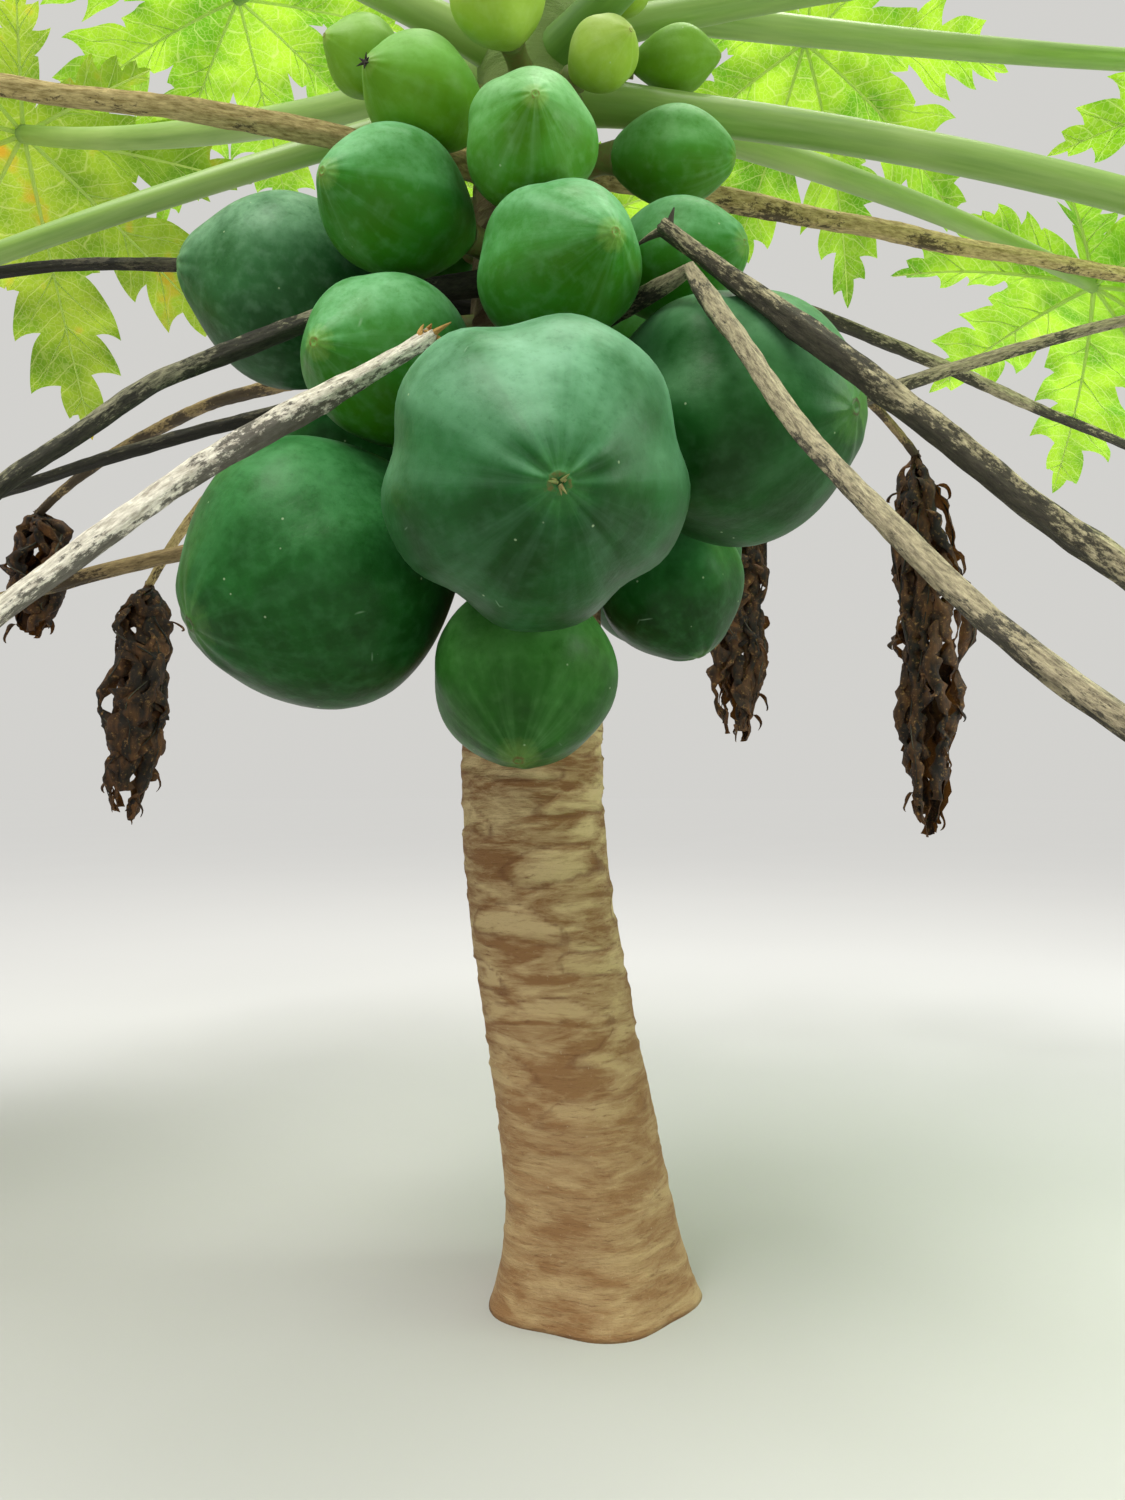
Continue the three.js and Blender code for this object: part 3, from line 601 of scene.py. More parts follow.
def addFruit(growth, spec, rings, sides, kind=0):
    plan, index, big = fruitPlan, spec["index"], spec["index"] == 0
    girth, length = spec["girth"], spec["length"]
    sharp, depth, foldReach = plan["bigShape"] if big else plan["usualShape"]
    share = 0.5 - 0.5 * np.cos(np.pi * np.linspace(0.03, 1, rings))
    late, power = plan["fullEnds"].get(index, plan["ends"])
    profile = np.sin(np.pi * share ** late).clip(0) ** power * (1 - 0.1 * (1 - share) ** 2)
    profile += 0.08 * np.exp(-((share - 1) / 0.05) ** 2)
    # The flower end closes in a low rim round its scar
    share = np.concatenate([share, plan["rim"][0]])
    profile = np.concatenate([profile, plan["rim"][1]])
    rings = len(share)
    furrows = [72 * i + 40 * wobble(index, 3) + 9 * wobble(index, i) for i in range(5)]
    furrows = list(plan["furrows"]) if big else furrows
    angles = np.arange(sides) * 360 / sides + furrows[0]
    edges = np.array(furrows + [furrows[0] + 360])
    place = np.searchsorted(edges, angles, side="right") - 1
    part = (angles - edges[place]) / (edges[place + 1] - edges[place])
    swell = 1 - 2 * (0.5 + 0.5 * np.cos(2 * np.pi * part)) ** sharp
    lobes = depth * spec["lobing"] * swell[None, :] * np.sin(np.pi * np.minimum(share, 1) ** 1.4)[:, None]
    turn = np.radians(angles)
    # Fine folds gather the skin round the flower end
    gather = np.exp(-((share - 0.95) / foldReach) ** 2)[:, None]
    folds = sum(np.cos(n * turn + 3 * wobble(index, n)) / 3 for n in (5, 8, 11))[None, :] * gather
    radius = girth / 2 * profile[:, None] * (1 + lobes + 0.05 * folds)
    beak = 0.0 if big else plan["beaks"][index in plan["blunt"]] * length
    level = (length * share + beak * np.exp(-(profile / 0.24) ** 2) * (share > 0.5))[:, None]
    level = level - (0.012 * girth * folds * (profile[:, None] > 0.1))
    local = np.stack([np.cos(turn)[None, :] * radius, np.sin(turn)[None, :] * radius, level], axis=-1)
    local = local.reshape(-1, 3)
    away = local - [0, 0, length * 0.5]
    away = away / np.maximum(np.linalg.norm(away, axis=1), 1)[:, None]
    steady = np.repeat(np.sin(np.pi * np.minimum(share, 1)), sides)
    dent = 0.0
    for wide, seed, deep in plan["dents"]:
        dent = dent + noiseAt(local, wide * girth, seed * index) * deep * girth
    x, y, z = np.hsplit(local + away * (dent * steady)[:, None] * [1, 1, 0.3], 3)
    world = spec["start"] + x * spec["side"] + y * spec["top"] + z * spec["axis"]
    soft = plan["press"] * min(1.0, girth / 100)
    for point, normal in spec["planes"]:
        past = (world - point) @ normal + plan["gap"]
        back = np.where(past > soft, past, np.where(past > -soft, (past + soft) ** 2 / (4 * soft), 0.0))
        world = world - back[:, None] * normal
    lie = np.column_stack([*np.tile([np.cos(turn), np.sin(turn)], rings), np.repeat(share, sides)])
    ends = np.array([world[:sides].mean(0), world[-sides:].mean(0)])
    skin = np.vstack([local, [[0, 0, 0], [0, 0, length]]]) + 1000.0 * (index + 1)
    growth.add(np.vstack([world, ends]), tubeFaces(rings, sides), kind, skin=skin,
               lie=np.vstack([lie, [[0, 0, share[0]], [0, 0, 1.01]]]))


def addFruitStalk(growth, spec):
    out = outward(spec["azimuth"])
    begin = spec["seat"] + out * stemRadius(spec["height"]) * 0.8
    end = spec["start"] + spec["axis"] * 0.07 * spec["length"]
    reach = np.linalg.norm(end - begin)
    steps = fruitPlan["stalkSteps"]
    path = bezier(begin, begin + out * reach * 0.4, end - spec["axis"] * reach * 0.4, end, steps)
    slim = fruitPlan["youngStalk"] if spec.get("young") else 1.0
    share = np.linspace(0, 1, steps)[:, None]
    angle = roundTurn(fruitPlan["stalkSides"])[None, :]
    swell = 1 + 0.5 * np.exp(-share * 5) + 0.35 * np.exp(-(1 - share) * 4)
    radii = fruitPlan["stalkRadius"] * slim * (swell + 0.06 * np.cos(5 * angle + spec["index"]))
    addTube(growth, path, radii, fibre=300.0 * spec["index"])


print("stage: trunk")
addPiece("trunk_bark", buildTrunk(), [corkBark()], ["trunk"])

print("stage: fruit")
skinOf = {tone: papayaSkin(tone + "PapayaSkin", look, tone in smoothSkins) for tone, look in skins.items()}
specs = fruitSpecs()
bearing = [spec for spec in specs if not spec.get("young")]
fruitNodes = [f"fruit_{i + 1:02d}" for i in range(len(bearing))]
for i, spec in enumerate(bearing):
    growth = Growth()
    addFruit(growth, spec, fruitPlan["rings"], fruitPlan["sides"])
    addPiece(f"papaya_{i + 1:02d}", growth, [skinOf[spec["tone"]]], [fruitNodes[i]])
young, youngTones = Growth(), ["lime", "mild"]
for spec in specs[len(bearing):]:
    addFruit(young, spec, fruitPlan["youngRings"], fruitPlan["youngSides"], youngTones.index(spec["tone"]))
addPiece("young_papayas", young, [skinOf[tone] for tone in youngTones], ["trunk"])
stalks = Growth()
for spec in specs:
    addFruitStalk(stalks, spec)
    side, top, axis = spec["side"], spec["top"], spec["axis"]
    if spec["tone"] == "light":  # the flower's dried remains still stick to this one
        tip = spec["start"] + axis * spec["length"] * 1.04
        for i in range(6):
            way = side * math.cos(2.4 * i) + top * math.sin(2.4 * i)
            addSpike(stalks, tip, unit(axis + 0.5 * way), 0.9 * way, 4 + 1.5 * wobble(i, 3), 1.3, 1)
    if spec["index"] == 0:  # and the big one's scar is torn into short dry tags
        for i in range(6):
            turn = 2.4 * i + 0.5 * wobble(i, 9)
            way = side * math.cos(turn) + top * math.sin(turn)
            tag = spec["start"] + axis * spec["length"] * 1.002 + way * (1.6 + 0.8 * wobble(i, 7))
            bend = 0.5 * wobble(i, 8) * axis
            addSpike(stalks, tag, unit(way + 0.2 * axis), bend, 3.4 + 1.6 * wobble(i, 6), 1.0, 0)
addPiece("fruit_stalks", stalks, [fruitStalkRind(), driedFlower()], ["trunk"] + fruitNodes)


# Living leaves, by the rule that the solids follow: they climb the stem in a spiral, and the older
# ones keep a direction of their own.
crownPlan = {
    "leaves": 16, "lowest": 842, "step": 12, "firstAzimuth": 56, "spiral": -137.5,
    "rise": (0, 76), "sag": (26, 8), "reach": (690, 300), "blade": (330, 150), "tilt": 40,
    "stalkRadius": 13, "stalkFlare": 0.45, "stalkTaper": 0.35, "stalkSteps": 44, "stalkSides": 20,
    "habit": {
        0: {"azimuth": 75.8, "height": 846, "rise": -14.4, "sag": 22.4},
        1: {"azimuth": -97, "height": 854, "rise": -11.7, "sag": 10.4, "thick": 0.78},
        2: {"azimuth": 122, "height": 865, "rise": 5, "sag": 10, "length": 657, "tilt": 31, "roll": 20},
        3: {"azimuth": 33.7, "height": 867, "rise": 2.5, "sag": 14},
        4: {"azimuth": -123.4, "height": 879, "rise": 9, "sag": -12.8, "length": 650, "tilt": 39,
            "roll": 10, "thick": 1.2},
        5: {"azimuth": 105.7, "height": 926, "rise": 4, "sag": -5.2, "length": 680, "size": 312, "tilt": 36,
            "roll": -7},
        6: {"azimuth": -66, "height": 877, "rise": 12.2, "sag": 12, "length": 591, "tilt": 48, "roll": 5},
        7: {"azimuth": 178, "rise": 22, "sag": 20, "length": 654, "size": 288, "tilt": 42, "roll": 10},
        8: {"azimuth": 85.7, "height": 894, "rise": 9.5, "sag": 15.8, "length": 536, "tilt": 61,
            "roll": 21},
        9: {"azimuth": -141.2, "rise": 36, "sag": 20, "length": 595, "size": 272, "tilt": 22, "roll": 6},
        10: {"azimuth": 146, "rise": 32, "sag": 20},
        12: {"azimuth": -158.7, "rise": 66, "length": 513, "tilt": 49, "roll": -6},
    },
    "green": (3, 9),  # leaves with a darker stalk
    "looks": {1: "yellowing", 4: "turning"}, "firstYoung": 13,
}
bladePlan = {
    # Where each lobe points, and its length as a share of the blade's size
    "lobes": ((-152, 0.44), (-114, 0.68), (-74, 0.86), (-36, 0.96), (0, 1), (36, 0.96), (74, 0.86),
              (114, 0.68), (152, 0.44)),
    "cleft": 0.36, "lastCleft": 0.1, "sag": 0.22,
    # Side lobes of a lobe, as shares of its length: each tip's place along and out, then the notch after it
    "teeth": ((0.5, 0.143, 0.505, 0.108), (0.695, 0.198, 0.668, 0.094), (0.845, 0.148, 0.82, 0.056),
              (0.94, 0.066, 0.925, 0.028)),
    "uneven": (0.018, 0.12),  # how far the side lobes shift and change their size
    "bulges": (0.09, 0.1),  # of the edge on its way to a tip, and to a notch, as a share of its length
    "droop": (0.28, 0.26), "free": 0.33,  # a lobe's usual droop, how that varies, and where it begins
    "keel": (0.05, 0.07), "wave": (0.011, 0.17),  # height and width of a midrib's fold and of a wave
    "spacing": 0.021,  # between the mesh's points, as a share of the blade's size
    "midrib": 0.0078, "sideRib": 0.003,
}


def leafSpec(k):
    c = crownPlan
    youth = k / (c["leaves"] - 1)
    spec = {
        "azimuth": c["firstAzimuth"] + c["spiral"] * k, "height": c["lowest"] + c["step"] * k,
        "rise": mix(*c["rise"], youth) + 4 * wobble(k, 1), "sag": mix(*c["sag"], youth),
        "length": mix(*c["reach"], youth ** 3) * (1 + 0.04 * wobble(k, 2)),
        "size": mix(*c["blade"], youth ** 4) * (1 + 0.05 * wobble(k, 4)),
        "tilt": c["tilt"], "roll": 8 * wobble(k, 5), "youth": youth, "index": k,
    }
    spec.update(c["habit"].get(k, {}))
    return spec


def stalkPath(spec, steps):  # leaves the stem at its rise and sags more towards its end; a kink is a snap
    kink = spec.get("kink")
    base = spec.get("from", stemRadius(spec["height"]) * 0.6)
    point = stemAt(spec["height"]) + outward(spec["azimuth"]) * base
    points = [point]
    for k in range(steps):
        share = (k + 0.5) / steps
        if kink and share > kink["at"]:
            aim = kink["aim"]
            slope = kink["rise"] - kink["sag"] * ((share - kink["at"]) / (1 - kink["at"])) ** 1.5
        else:
            aim = spec.get("aim", spec["azimuth"])
            slope = spec["rise"] - spec["sag"] * share ** 1.5
        point = point + sloped(aim, slope) * spec["length"] / steps
        points.append(point)
    return np.array(points)


def addLeafStalk(growth, spec):
    c = crownPlan
    path = stalkPath(spec, c["stalkSteps"])
    radius = c["stalkRadius"] * mix(1, 0.7, spec["youth"]) * spec.get("thick", 1)
    share = np.linspace(0, 1, c["stalkSteps"] + 1)[:, None]
    angle = roundTurn(c["stalkSides"])[None, :]
    size = radius * (1 + c["stalkFlare"] * np.exp(-share * spec["length"] / 40) - c["stalkTaper"] * share)
    flutes = 0.016 * np.cos(7 * angle + spec["index"]) * np.sin(np.pi * share) ** 0.5
    groove = -0.05 * np.exp(-((angle - math.pi / 2) / 0.35) ** 2)
    addTube(growth, path, size * (1 + flutes + groove), fibre=900.0 * spec["index"])
    return path


def lobeSide(length, cleft, seed, mirror):  # one edge of a lobe from its notch to its tip, in mm
    points, (shift, change) = [cleft], bladePlan["uneven"]
    for j, (tipX, tipY, notchX, notchY) in enumerate(bladePlan["teeth"]):
        drift = shift * wobble(seed, j + 3 * mirror)
        wide = 1 + change * wobble(seed + 5, j + 7 * mirror)
        deep = 1 + change * wobble(seed + 2, j + 5 * mirror)
        points.append(((tipX + drift) * length, tipY * wide * length))
        points.append(((notchX + drift) * length, notchY * deep * length))
    return points + [(length, 0.0)]


def curveBetween(a, b, bulge, spacing):
    a, b = np.array(a), np.array(b)
    long = np.linalg.norm(b - a)
    count = max(1, int(round(long / spacing)))
    normal = np.array([-(b - a)[1], (b - a)[0]])
    return [a + (b - a) * t + normal * bulge * 4 * t * (1 - t) for t in (np.arange(count) / count)]


def bladeOutline(size, seed):  # the blade's edge, and its ribs with whether each is a lobe's midrib
    lobes, (toTip, toNotch) = bladePlan["lobes"], bladePlan["bulges"]
    outline, ribs = [], []
    spacing = size * bladePlan["spacing"]
    for i, (angle, share) in enumerate(lobes):
        length = size * share
        edges = []
        for mirror, near in ((0, lobes[i - 1]), (1, lobes[(i + 1) % len(lobes)])):
            apart = abs(near[0] - angle)
            apart = 360 - apart if apart > 180 else apart
            last = apart > 50
            depth = (bladePlan["lastCleft"] if last else bladePlan["cleft"] * min(share, near[1])) * size
            half = math.radians(apart / 2)
            cleft = (depth * math.cos(half) / length, depth * math.sin(half) / length)
            edges.append(lobeSide(length, cleft, seed * 31 + i, mirror))
        turn = math.radians(angle)
        along = np.array([math.cos(turn), math.sin(turn)])
        aside = np.array([-math.sin(turn), math.cos(turn)])

        def place(p, sign):
            return along * p[0] + aside * p[1] * sign

        up, down = edges
        for j in range(len(up) - 1):  # out along the side of the smaller angles
            bulge = toTip if j % 2 == 0 else -toNotch
            outline += [place(p, -1) for p in curveBetween(up[j], up[j + 1], bulge, spacing)]
        back = down[::-1]
        for j in range(len(back) - 1):  # and back along the other
            bulge = toNotch if (len(back) - j) % 2 == 1 else -toTip
            outline += [place(p, 1) for p in curveBetween(back[j], back[j + 1], bulge, spacing)]
        midrib = np.linspace(0, 0.985, max(6, int(length / spacing)))
        ribs.append((True, [along * length * t for t in midrib]))
        for sign, edge in ((-1, up), (1, down)):
            for tipX, tipY in edge[1:-1:2]:
                start = max(tipX - tipY * 1.35, 0.12 * length)
                arc = np.linspace(0, 0.95, 9)
                arc = [(start + (tipX - start) * t, tipY * t ** 1.15 * 0.95) for t in arc]
                ribs.append((False, [place(p, sign) for p in arc]))
    return np.array(outline), ribs


def buildBlade(spec, centre):
    size, seed = spec["size"], spec["index"]
    forward = sloped(spec["azimuth"], -spec["tilt"])
    rolled = Matrix.Rotation(math.radians(spec["roll"]), 3, Vector(forward))
    side = np.array(rolled @ Vector(across(spec["azimuth"])))
    normal = unit(np.cross(forward, side))
    lobes, (usual, varies) = bladePlan["lobes"], bladePlan["droop"]
    (keel, keelWide), (wave, waveLong) = bladePlan["keel"], bladePlan["wave"]

    def onLobe(flat):  # places along and beside the nearest lobe's midrib, and which lobe that is
        far = np.hypot(flat[:, 0], flat[:, 1])
        angle = np.degrees(np.arctan2(flat[:, 1], flat[:, 0]))
        away = np.abs((angle[:, None] - np.array([a for a, _ in lobes])[None, :] + 180) % 360 - 180)
        nearest = away.argmin(1)
        off = np.radians(away[np.arange(len(flat)), nearest])
        return far * np.cos(off), far * np.sin(off), nearest

    def surface(flat, below=0.0):  # the blade arches, its lobes droop, and their edges wave
        flat = np.asarray(flat, float).reshape(-1, 2)
        along, aside, nearest = onLobe(flat)
        share = np.hypot(along, aside) / size
        free = np.clip(share - bladePlan["free"], 0, None)
        droop = np.array([usual + varies * wobble(seed * 9 + n, 11) for n in range(len(lobes))])[nearest]
        phase = np.array([3.0 * wobble(seed * 9 + n, 12) for n in range(len(lobes))])[nearest]
        height = -bladePlan["sag"] * size * share ** 2 - droop * size * free ** 2
        height += keel * size * (1 - np.exp(-aside / (keelWide * size))) * ease(share / 0.2)
        swing = np.sin(2 * np.pi * share / waveLong + phase + np.sign(flat[:, 1]))
        height += wave * size * swing * ease(aside / (0.13 * size)) * ease((share - 0.2) / 0.2)
        height -= below
        return centre + flat[:, :1] * forward + flat[:, 1:] * side + height[:, None] * normal

    outline, ribs = bladeOutline(size, seed)
    spacing = size * bladePlan["spacing"]
    low, high = outline.min(0), outline.max(0)
    rows, columns = np.arange(low[1], high[1], spacing * 0.87), np.arange(low[0], high[0], spacing)
    inner = np.array([(x + (spacing / 2 if r % 2 else 0), y) for r, y in enumerate(rows) for x in columns])
    fixed = [outline] + [np.array(rib) for main, rib in ribs if main]
    for line in fixed:
        apart = inner[:, None] - line[None, :]
        inner = inner[np.min(np.hypot(apart[..., 0], apart[..., 1]), axis=1) > spacing * 0.55]
    # Points outside the outline go: a level ray crosses it an even number of times
    crossings = np.zeros(len(inner), int)
    for a, b in zip(outline, np.roll(outline, -1, 0)):
        hit = (a[1] > inner[:, 1]) != (b[1] > inner[:, 1])
        if hit.any():
            x = a[0] + (inner[:, 1] - a[1]) / (b[1] - a[1] + 1e-12) * (b[0] - a[0])
            crossings += hit & (inner[:, 0] < x)
    inner = inner[crossings % 2 == 1]
    corners = [Vector(p) for p in outline]
    count, edges = len(corners), []
    for line in fixed[1:]:
        first = len(corners)
        corners += [Vector(p) for p in line]
        edges += [(first + i, first + i + 1) for i in range(len(line) - 1)]
    corners += [Vector(p) for p in inner]
    flat, _, faces, _, _, _ = delaunay_2d_cdt(corners, edges, [list(range(count))], 1, 1e-4)
    flat = np.array([(p.x, p.y) for p in flat])
    growth = Growth()
    skin = np.column_stack([flat, np.full(len(flat), 400.0 * seed)])
    lie = np.column_stack(onLobe(flat)[:2] + (np.zeros(len(flat)),))
    growth.add(surface(flat), faces, 0, skin=skin, lie=lie)
    for main, rib in ribs:
        thick = size * (bladePlan["midrib"] if main else bladePlan["sideRib"])
        t = np.linspace(0, 1, len(rib))[:, None]
        addTube(growth, surface(rib, thick * 0.35), np.repeat(thick * (1 - 0.75 * t ** 0.8), 6, axis=1), 1)
    return growth


print("stage: leaves")
# The face's two greens and its veins, the same with light behind them, then an old leaf's colour and
# the noise where it starts
leafLooks = {
    "grown": ("#2f641a", "#54902a", "#a3c063", "#70b01c", "#b6e634", "#eaf8a0"),
    "yellowing": ("#55782a", "#7c962f", "#b3b85c", "#a3ac30", "#d8d440", "#f0e890", ("#e0a830", 0.5)),
    "turning": ("#3c6a1e", "#68922c", "#adbf60", "#84ac22", "#c0da3a", "#eef4a0", ("#dea42c", 0.585)),
    "young": ("#5f932e", "#7fae3e", "#b4cf74", "#a8d63c", "#d2f65c", "#eefcb0"),
}
tissue = {name: bladeTissue(name + "LeafTissue", look) for name, look in leafLooks.items()}
rindPale = stalkRind("paleLeafStalkRind", ("#6f9638", "#9dba68", "#b2c87a"))
rindGreen = stalkRind("greenLeafStalkRind", ("#4f7f30", "#7aa24c", "#8fb25a"))
rib = veinRib()
for k in range(crownPlan["leaves"]):
    spec = leafSpec(k)
    node = f"leaf_{k + 1:02d}"
    stalk = Growth()
    path = addLeafStalk(stalk, spec)
    rind = rindGreen if k in crownPlan["green"] else rindPale
    addPiece(f"leaf_stalk_{k + 1:02d}", stalk, [rind], [node])
    look = crownPlan["looks"].get(k, "young" if k >= crownPlan["firstYoung"] else "grown")
    addPiece(f"leaf_blade_{k + 1:02d}", buildBlade(spec, path[-1]), [tissue[look], rib], [node])


# Dead leaf stalks that are still on the plant; two have come off and rest on the fruit
deadPlan = {
    "keys": ("azimuth", "height", "rise", "sag", "length", "radius", "look"),
    "stalks": [
        (-70, 792, 1, 12.3, 519, 9, "brown", {}), (-102, 696, 16.8, 26, 533, 7, "black", {}),
        (-51.3, 710, -22.3, 30.5, 440, 8, "charred", {}), (-106, 666, -8, 3.4, 522, 7, "black", {}),
        (-17, 603, -36.4, 10, 421, 9, "bleached",
         {"from": 184, "aim": -42.5, "taper": 0.62, "torn": "frayed"}),
        (-83, 565, -11.8, 13, 500, 7, "spotted", {}), (112.5, 808, 0.6, -2.5, 560, 10, "brown", {}),
        (26.4, 675, -43, 0.8, 423, 8.3, "dark",
         {"from": 178, "aim": 63.4, "taper": 0.08, "torn": "hooked"}),
        (26.8, 655, -5.3, 0, 656, 6.5, "grey",
         {"kink": {"at": 3 / 11, "aim": 16, "rise": -48, "sag": -21.8}}),
        (114, 769, -9, 1.5, 600, 7, "dark", {}), (98, 541, 26.2, 12, 492, 7.5, "grey", {}),
        (143.4, 751, 13.2, 27.3, 783, 8, "spotted", {"withered": 495}),
        (159, 784, 8, 28.2, 744, 8, "spotted", {"withered": 330}),
        (-139.7, 706, 6, 36, 744, 8, "brown", {"withered": 290}),
        (-132.8, 671, 12, 26.8, 834, 8, "spotted", {"withered": 155}),
    ],
    "taper": 0.35, "flare": 0.7, "flareLength": 40, "sides": 18, "steps": 84, "kinkedSteps": 120,
    "wander": 3.5, "flatten": 0.84, "ridge": 0.11, "fineRidge": 0.05, "shrunk": 0.1, "rough": 0.12,
    "frays": 18,
}
witheredPlan = {
    "widths": ((0, 11), (0.05, 22), (0.16, 40), (0.32, 46), (0.5, 45), (0.68, 41), (0.84, 32), (1, 15)),
    "bulk": (1.3, 1.2, 1.1, 1.1), "strips": 16, "levels": 72, "sway": 12,
    # A strip's half width and curl, each with what comes on top, its mesh columns and its crumple, then
    # how close the shreds stand, their length and half width, and their curl, columns and crumple
    "half": (4, 9.5), "curl": (1.7, 0.7), "columns": 8, "crumple": 6.0,
    "shredStep": 26, "shredLength": (22, 11), "shredHalf": (7, 3), "shredShape": (1.6, 6, 4.0),
}
fibreShift = 1300.0  # mm between the patterns of one dry stalk and the next
# Each rind's dull and pale fibres and its mould, the noise where the mould starts, and how it clears per mm
rindLooks = {
    "brown": ("#877443", "#cfba84", "#35261a", 1.1, 0.0),
    "black": ("#2e2b24", "#625c4b", "#100f0c", 0.88, 0.0),
    "charred": ("#38362a", "#98947a", "#14120d", 0.87, 0.0),
    "dark": ("#625a45", "#bdb292", "#171512", 0.83, 0.0003),
    "grey": ("#665d4a", "#b8ac8e", "#1f1c18", 0.87, 0.0002),
    "bleached": ("#a0978a", "#efe9dc", "#3a352e", 0.96, 0.0),
    "spotted": ("#6d5a3c", "#a28c62", "#2c2015", 0.95, 0.0),
}


def addDeadStalk(growth, spec, index):
    d = deadPlan
    steps = d["kinkedSteps" if "kink" in spec else "steps"]
    path = stalkPath(spec, steps)
    share, length = np.linspace(0, 1, steps + 1), spec["length"]
    # Dried out, it wanders a little from its line, has shrunk unevenly and is ridged by its fibres
    sway = noiseGrid(share, range(3), lambda s, k: (s * 5, index * 3.1, k * 7.7))
    path = path + sway * d["wander"] * np.sin(np.pi * share)[:, None]
    angle = roundTurn(d["sides"])
    taper = spec.get("taper", d["taper"])
    size = spec["radius"] * (1 + d["flare"] * np.exp(-share * length / d["flareLength"]) - taper * share)
    if "torn" in spec:  # the end that tore off is thin
        size = size * mix(0.42, 1.06, ease(share / 0.3))
    if "kink" in spec:  # pinched where it snapped
        size = size * (1 - 0.3 * np.exp(-((share - spec["kink"]["at"]) / 0.03) ** 2))
    uneven = noiseGrid(share, [0], lambda s, _: (s * length / 60, index * 5.3, 0))[:, 0]
    size = size * (1 + d["shrunk"] * uneven)
    twist = 2.5 * share[:, None] * wobble(index, 2)
    ridges = d["ridge"] * np.cos(5 * (angle[None, :] + twist) + index)
    ridges = ridges + d["fineRidge"] * np.cos(9 * (angle[None, :] - twist))

    def place(s, a):
        return math.cos(a) * 1.5, math.sin(a) * 1.5, s * length / 14 + index * 7

    radii = size[:, None] * (1 + ridges + d["rough"] * noiseGrid(share, angle, place))
    addTube(growth, path, radii, flatten=d["flatten"], fibre=fibreShift * index)
    return path


def addTornBase(growth, spec, path):
    back = unit(path[0] - path[3])
    level = unit(np.cross([0, 0, 1.0], back))
    rise = np.cross(back, level)
    if spec["torn"] == "frayed":
        for i in range(deadPlan["frays"]):
            way = level * math.cos(2.4 * i) + rise * math.sin(2.4 * i)
            start = path[0] - back * (4 + 5 * wobble(i, 6)) + way * spec["radius"] * 0.3
            bend = 0.8 * (back * wobble(i, 8) + level * wobble(i, 4))
            way = unit(way + (0.4 + wobble(i, 5)) * back)
            addSpike(growth, start, way, bend, 5 + 2.5 * wobble(i, 3), 2.3, 1)
    else:  # the clasping foot, split in a claw and a nib
        addSpike(growth, path[1], unit(back - 0.2 * rise), -0.75 * rise, 13, 3.4, 0)
        addSpike(growth, path[1], unit(back + 0.9 * rise), 0.4 * rise, 9, 3.0, 0)


# A rolled, ragged ribbon, which keeps within the limit: a middle and a radius for each level
def addStrip(growth, centre, facing, half, curl, columns, crumple, seed, limit=None):
    levels = len(centre)
    radial = np.column_stack([np.cos(facing), np.sin(facing), np.zeros(levels)])[:, None]
    level = np.column_stack([-np.sin(facing), np.cos(facing), np.zeros(levels)])[:, None]
    a = np.linspace(-1, 1, columns)[None, :, None] * curl
    half = half[:, None, None]
    points = centre[:, None] + level * np.sin(a) / curl * half - radial * (1 - np.cos(a)) / curl * half
    points = points.reshape(-1, 3)
    folds = [noiseAt(points, size, seed + shift) for shift, size in ((0.3, 13), (40.3, 13), (80.3, 20))]
    points = points + np.stack(folds, axis=-1) * crumple
    if limit is not None:
        middle, reach = np.repeat(limit[0], columns, axis=0), np.repeat(limit[1], columns)
        off = points[:, :2] - middle
        far = np.maximum(np.hypot(off[:, 0], off[:, 1]), 1e-6)
        points[:, :2] = middle + off * np.minimum(1, reach / far)[:, None]
    growth.add(points, gridFaces(levels, columns, closed=False), skin=points + 500.0 * seed)


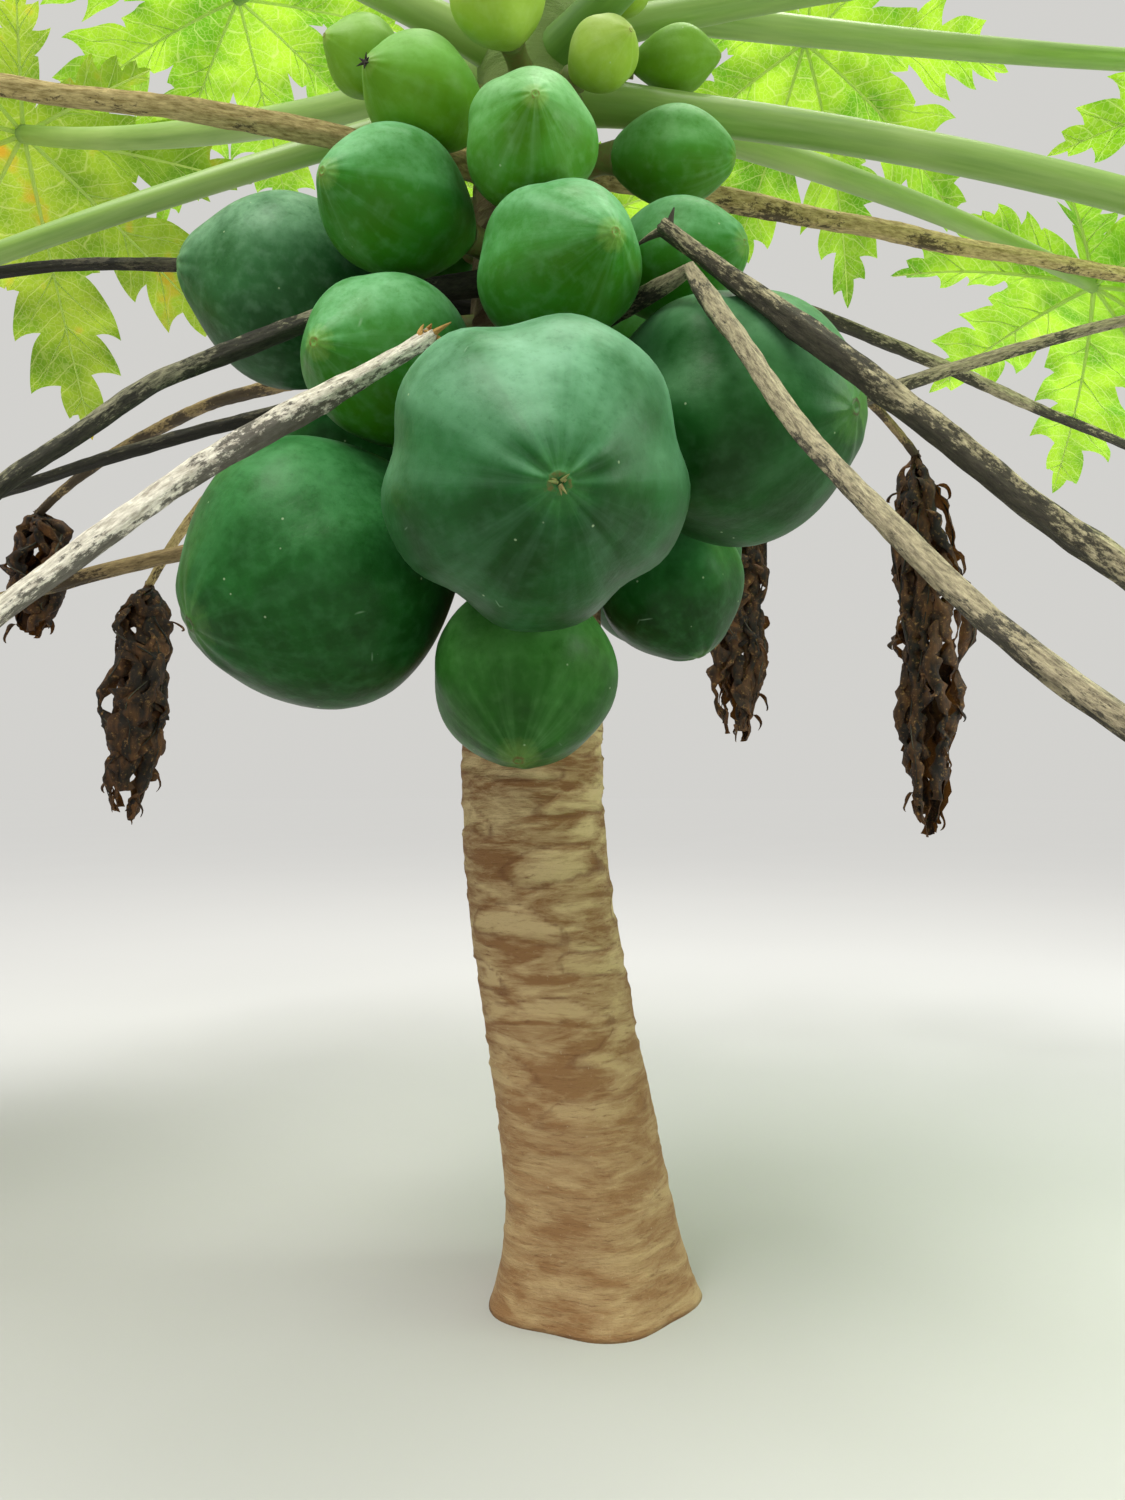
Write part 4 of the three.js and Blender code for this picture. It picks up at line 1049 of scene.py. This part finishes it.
def addWitheredLeaf(growth, top, length, index):  # its lobes hang rolled up, with curled shreds
    plan = witheredPlan
    s = np.linspace(0, 1, plan["levels"])
    middle = plan["sway"] * np.sin(index + 2.4 * s) - plan["sway"] * math.sin(index)
    bulk, (narrow, wider) = plan["bulk"][index], plan["half"]
    widths = bulk * np.interp(s, *zip(*plan["widths"]))
    for j in range(plan["strips"]):
        seed = index * 40 + j
        reach = 1.0 if j < 2 else 0.55 + 0.42 * abs(wobble(seed, 1))
        at = s * reach
        wander, spread = noiseGrid(s, range(2), lambda v, k: (v * 3.5, seed * 1.3, k * 9.0)).T
        around = 2 * math.pi * j / plan["strips"] + 0.5 * wobble(seed, 2) + 1.7 * wander
        out = np.interp(at, s, widths) * (0.64 + 0.25 * wobble(seed, 4) + 0.45 * spread).clip(0.12, 1.0)
        out = out * ease(s / 0.12 + 0.15)
        sway = np.interp(at, s, middle)
        centre = [out * np.cos(around) + sway, out * np.sin(around), 4 - at * length]
        centre = np.stack(centre, axis=-1) + top
        half = bulk * (narrow + wider * ease(s / 0.16) * (1 - 0.6 * ease((s - 0.8) / 0.2)))
        torn = 1 + 1.2 * noiseGrid(s, [0], lambda v, _: (v * length / 17, seed * 1.7, 0))[:, 0]
        half = half * np.maximum(0.15, torn)
        limit = (np.column_stack([sway + top[0], np.full(len(s), top[1])]), np.interp(at, s, widths) * 1.2)
        curl = plan["curl"][0] + plan["curl"][1] * wobble(seed, 5)
        facing = around + 1.4 * wander
        addStrip(growth, centre, facing, half, curl, plan["columns"], plan["crumple"], seed, limit)
        if j % 3 == 0:
            addTube(growth, centre, np.repeat((1.4 - 0.9 * s)[:, None], 5, axis=1), 1)
    t = np.linspace(0, 1, 9)
    for j in range(int(length / plan["shredStep"])):
        seed = index * 90 + j
        at = 0.08 + 0.86 * (0.5 + 0.5 * wobble(seed, 1))
        around = 2.4 * j
        long = plan["shredLength"][0] + plan["shredLength"][1] * wobble(seed, 2)
        out = np.interp(at, s, widths) * 0.62 + long * 0.62 * np.sin(2.3 * t)
        drop = long * (1.25 * t ** 1.5 - 0.35 * t ** 4) * (1.4 + wobble(seed, 3))
        centre = np.stack([out * math.cos(around) + np.interp(at, s, middle), out * math.sin(around),
                           4 - at * length - drop], axis=-1) + top
        half = (plan["shredHalf"][0] + plan["shredHalf"][1] * wobble(seed, 4)) * (1 - 0.8 * t ** 1.6)
        facing = around + 1.2 + 2 * t * wobble(seed, 5)
        addStrip(growth, centre, facing, half, *plan["shredShape"], seed)


print("stage: dead stalks and withered leaves")
driedOf = {name: driedRind(name + "DriedRind", look) for name, look in rindLooks.items()}
tornFibre = driedRind("tornOrangeFibre", ("#a5763a", "#dcb26a", "#5a3a1c", 1.02, 0.0))
withered = witheredTissue()
hung = 0
for i, row in enumerate(deadPlan["stalks"]):
    spec = dict(zip(deadPlan["keys"], row), **row[-1])
    growth, node = Growth(), f"dead_stalk_{i + 1:02d}"
    path = addDeadStalk(growth, spec, i)
    if "torn" in spec:
        addTornBase(growth, spec, path)
    addPiece(f"dry_stalk_{i + 1:02d}", growth, [driedOf[spec["look"]], tornFibre], [node])
    if "withered" in spec:
        leaf = Growth()
        addWitheredLeaf(leaf, path[-1], spec["withered"], hung)
        hung += 1
        node = f"dead_leaf_{hung:02d}"
        addPiece(f"withered_leaf_{hung:02d}", leaf, [withered, driedOf["black"]], [node])


# Floor, light and camera. Lights stand at place (m), with their width, watts and colour. The wide
# light and the world are set so that the floor looks as pale as the ground behind it.
stagePlan = {
    "floorColours": ("#bdbdbd", "#bfbfbf"), "floorRadius": 40.0, "floorSides": 96,
    "worldColour": "#fdfcf8", "worldStrength": 0.66,
    "wide": {"from": (-0.35, -0.4, 1.0), "degrees": 34.0, "strength": 2.25, "colour": "#fdfcf8"},
    "camera": (-0.021, -0.800, 0.350), "pitch": 2.0, "lens": 27.05, "aim": (-0.04, 0.0, 0.7),
    "lights": [
        ((-0.8, -1.3, 2.4), 0.8, 14, "#fff6ea"), ((1.8, -0.3, 1.0), 1.0, 30, "#f8fff8"),
        ((0.3, 0.7, 3.2), 1.6, 40, "#fffdf2"),
    ],
}


def addLamp(name, kind, place, colour, energy):
    light = bpy.data.lights.new(name, kind)
    light.energy, light.color = energy, hexColour(colour)[:3]
    lamp = bpy.data.objects.new(name, light)
    lamp.location = place
    lamp.rotation_euler = (Vector(stagePlan["aim"]) - Vector(place)).to_track_quat("-Z", "Y").to_euler()
    bpy.context.scene.collection.objects.link(lamp)
    return light


def buildStage():
    # Dead matt emulsion paint, which gives an even pale ground
    material, add, _, _ = newMaterial("palePaintedFloor")
    place = add("TexCoord", out="Object")
    faint = add("TexNoise", {"Vector": place, "Scale": 2.0, "Detail": 3.0})
    low, high = stagePlan["floorColours"]
    paint = coated(add, low, [(faint, 0, 1, 1, high)])
    finished(material, add, {"Base Color": paint, "Roughness": 1.0, "Specular IOR Level": 0.0})
    radius, sides = stagePlan["floorRadius"], stagePlan["floorSides"]
    turn = [2 * math.pi * i / sides for i in range(sides)]
    edge = [(radius * math.cos(a), radius * math.sin(a), 0.0) for a in turn]
    mesh = bpy.data.meshes.new("pale_floor")
    mesh.from_pydata(edge, [], [tuple(range(sides))])
    mesh.materials.append(material)
    floor = bpy.data.objects.new("pale_floor", mesh)
    bpy.context.scene.collection.objects.link(floor)
    wide = stagePlan["wide"]
    place = Vector(stagePlan["aim"]) + 4 * Vector(wide["from"])
    light = addLamp("wide_soft_light", "SUN", place, wide["colour"], wide["strength"])
    light.angle = math.radians(wide["degrees"])
    for i, (place, size, watts, colour) in enumerate(stagePlan["lights"]):
        light = addLamp(f"soft_light_{i + 1}", "AREA", place, colour, watts)
        light.shape, light.size = "DISK", size
    world = bpy.data.worlds.new("pale_studio")
    world.use_nodes = True
    sky = world.node_tree.nodes["Background"].inputs
    sky[0].default_value = hexColour(stagePlan["worldColour"])
    sky[1].default_value = stagePlan["worldStrength"]
    bpy.context.scene.world = world
    camera = bpy.data.objects.new("camera", bpy.data.cameras.new("camera"))
    camera.data.lens = stagePlan["lens"]
    camera.data.clip_start = 0.02
    camera.location = stagePlan["camera"]
    camera.rotation_euler = (math.radians(90 + stagePlan["pitch"]), 0, 0)
    bpy.context.scene.collection.objects.link(camera)
    bpy.context.scene.camera = camera
    bpy.context.scene.view_settings.view_transform = "Standard"


print("stage: floor, light and camera")
buildStage()
